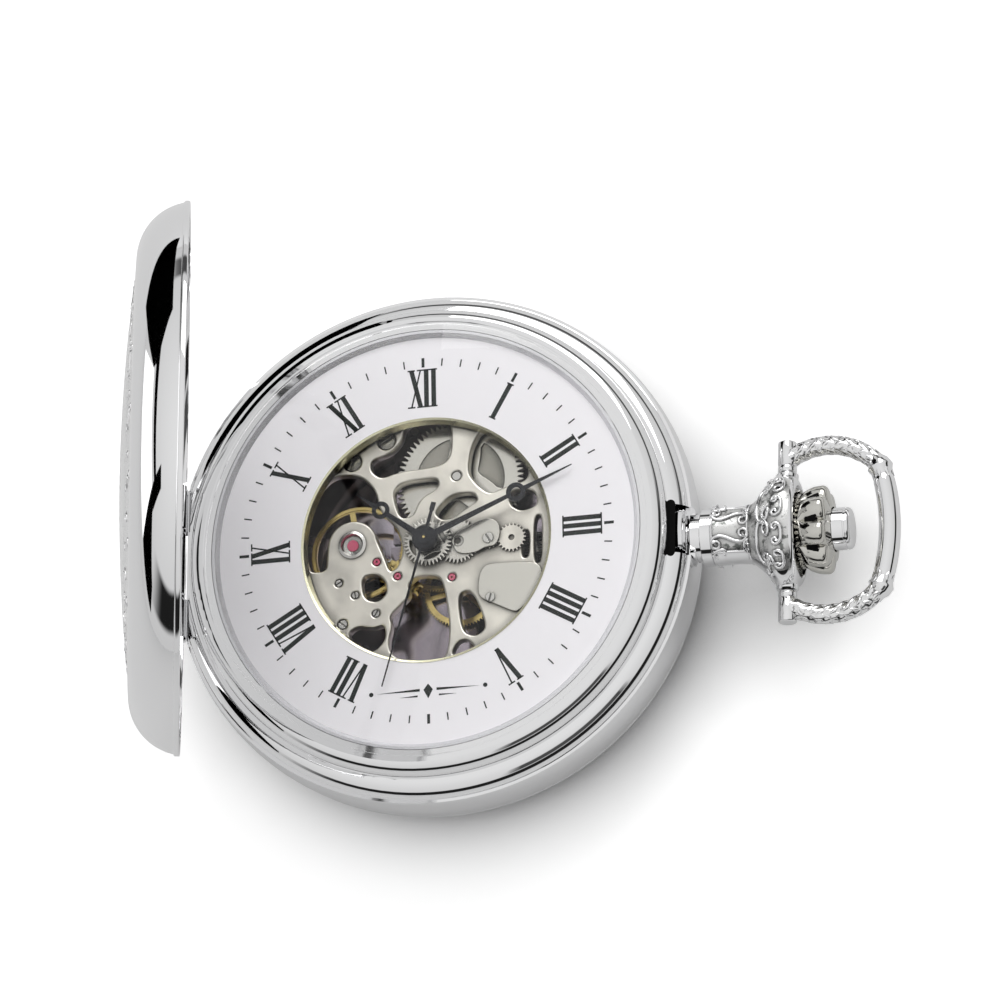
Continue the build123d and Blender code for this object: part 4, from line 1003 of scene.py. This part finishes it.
def area_light(name, place, aim, size, watts):
    """A rectangular lamp aimed at a point."""
    data = bpy.data.lights.new(name, "AREA")
    data.shape = "RECTANGLE"
    data.size, data.size_y = size
    data.energy = watts
    lamp = in_scene(name, data)
    lamp.location = place
    lamp.rotation_euler = (Vector(place) - Vector(aim)).to_track_quat("Z", "Y").to_euler()


# Each gap: bottom and top in degrees above the horizon, softness, first and last bearing, softness, depth
dark_gaps = (
    (8.0, 22.0, 4.0, -130.0, 20.0, 25.0, 0.98),
    (6.0, 14.0, 3.0, 30.0, 105.0, 15.0, 0.9),
    (30.0, 44.0, 5.0, -75.0, -35.0, 8.0, 0.9),
)
low_grey, high_grey, high_from = 0.62, 0.84, 75.0


def studio_world():
    """A pale studio with dark gaps low down that polished metal picks up. Plain white from the camera."""
    world = bpy.data.worlds.new("studio")
    bpy.context.scene.world = world
    world.use_nodes = True
    tree = world.node_tree
    new, wire = tree.nodes.new, tree.links.new

    def math(operation, first, second=0.0, third=0.0):
        step = new("ShaderNodeMath")
        step.operation = operation
        for place, value in enumerate((first, second, third)):
            if isinstance(value, float):
                step.inputs[place].default_value = value
            else:
                wire(value, step.inputs[place])
        return step.outputs[0]

    def window(value, start, full, end, gone):
        """1 between full and end, falling to 0 at start and gone."""
        ramps = []
        for low, high in ((start, full), (gone, end)):
            first, last = (1.0, 0.0) if low > high else (0.0, 1.0)
            ramp = node(world, "ShaderNodeMapRange", interpolation_type="SMOOTHSTEP", From_Min=min(low, high),
                        From_Max=max(low, high), To_Min=first, To_Max=last)
            wire(value, ramp.inputs["Value"])
            ramps.append(ramp.outputs[0])
        return math("MULTIPLY", *ramps)

    place = new("ShaderNodeTexCoord")
    parts = new("ShaderNodeSeparateXYZ")
    wire(place.outputs["Generated"], parts.inputs[0])
    x, y, z = parts.outputs
    height = math("MULTIPLY", math("ARCSINE", z), 180 / pi)
    turn = math("MULTIPLY", math("ARCTAN2", y, x), 180 / pi)

    dark = None
    for bottom, top, soft, first, last, edge, depth in dark_gaps:
        band = math("MULTIPLY", window(height, bottom - soft, bottom, top, top + soft),
                    window(turn, first - edge, first, last, last + edge))
        band = math("MULTIPLY", band, depth)
        dark = band if dark is None else math("MAXIMUM", dark, band)
    grey = node(world, "ShaderNodeMapRange", From_Min=0.0, From_Max=high_from, To_Min=low_grey,
                To_Max=high_grey)
    wire(height, grey.inputs["Value"])
    level = math("MULTIPLY", grey.outputs[0], math("SUBTRACT", 1.0, dark))
    rays = new("ShaderNodeLightPath")
    seen = new("ShaderNodeMix")
    wire(rays.outputs["Is Camera Ray"], seen.inputs["Factor"])
    wire(level, seen.inputs["A"])
    seen.inputs["B"].default_value = 1.0
    wire(seen.outputs["Result"], tree.nodes["Background"].inputs["Strength"])
    tree.nodes["Background"].inputs["Color"].default_value = (1, 1, 1, 1)


studio_world()
area_light("key", (0.10, 0.74, 0.64), (0, 0, 0), (0.6, 0.6), 3.0)


def card(name, corners, strength):
    """A studio card that only glossy rays see. Each corner is its bearing in degrees, distance and height."""
    mesh = bpy.data.meshes.new(name)
    points = [(*polar(away, radians(turn)), rise) for turn, away, rise in corners]
    mesh.from_pydata(points, [], [tuple(range(len(corners)))])
    made = in_scene(name, mesh)
    board = material(name, (0, 0, 0), 0.0, 1.0, Emission_Color=(1, 1, 1, 1), Emission_Strength=strength,
                     Specular_IOR_Level=0.0)
    mesh.materials.append(board)
    made.visible_camera = made.visible_diffuse = made.visible_shadow = made.visible_transmission = False


card("black_card_star", ((110, 0.26, 0.006), (146, 0.24, 0.002), (150, 0.24, 0.07), (153, 0.24, 0.15),
                         (148, 0.24, 0.19), (132, 0.25, 0.205), (117, 0.26, 0.20)), 0.0)
card("black_card_line", ((140, 0.25, 0.16), (192, 0.25, 0.205), (192, 0.25, 0.235), (140, 0.25, 0.20)), 0.0)
card("black_card_turn", ((189, 0.25, 0.19), (197, 0.25, 0.17), (201, 0.25, 0.30), (190, 0.25, 0.33)), 0.0)
card("black_card_low", ((190, 0.245, 0.06), (213, 0.245, 0.05), (212, 0.245, 0.09), (196, 0.245, 0.17),
                        (189, 0.245, 0.2)), 0.0)
card("white_card_low", ((153, 0.27, 0.05), (190, 0.27, 0.06), (190, 0.27, 0.19), (153, 0.27, 0.17)), 1.5)
floor_mesh = bpy.data.meshes.new("floor")
floor_mesh.from_pydata([(-1, -1, 0), (1, -1, 0), (1, 1, 0), (-1, 1, 0)], [], [(0, 1, 2, 3)])
floor = in_scene("floor", floor_mesh)
paper = material("floor_white", (0.6, 0.6, 0.6), 0.0, 0.9, Emission_Color=(1, 1, 1, 1))
shade = node(paper, "ShaderNodeLightPath")
tone = node(paper, "ShaderNodeMix", data_type="RGBA")
tone.inputs["A"].default_value, tone.inputs["B"].default_value = (0.78, 0.78, 0.78, 1), (0.96, 0.96, 0.96, 1)
link(paper, shade, "Is Camera Ray", tone, "Factor")
floor_shader = paper.node_tree.nodes["Principled BSDF"]
paper.node_tree.links.new(tone.outputs["Result"], floor_shader.inputs["Base Color"])
# The floor's own glow is lowered close to the watch, as a contact shadow, and shown to the camera alone
near = node(paper, "ShaderNodeAmbientOcclusion", Distance=0.014)
contact = node(paper, "ShaderNodeMapRange", From_Min=0.25, From_Max=0.8, To_Min=-0.2, To_Max=0.42)
link(paper, near, "AO", contact, "Value")
glow = node(paper, "ShaderNodeMath", operation="MULTIPLY")
link(paper, contact, "Result", glow, 1)
link(paper, shade, "Is Camera Ray", glow, 0)
link(paper, glow, "Value", floor_shader, "Emission Strength")
floor.data.materials.append(paper)
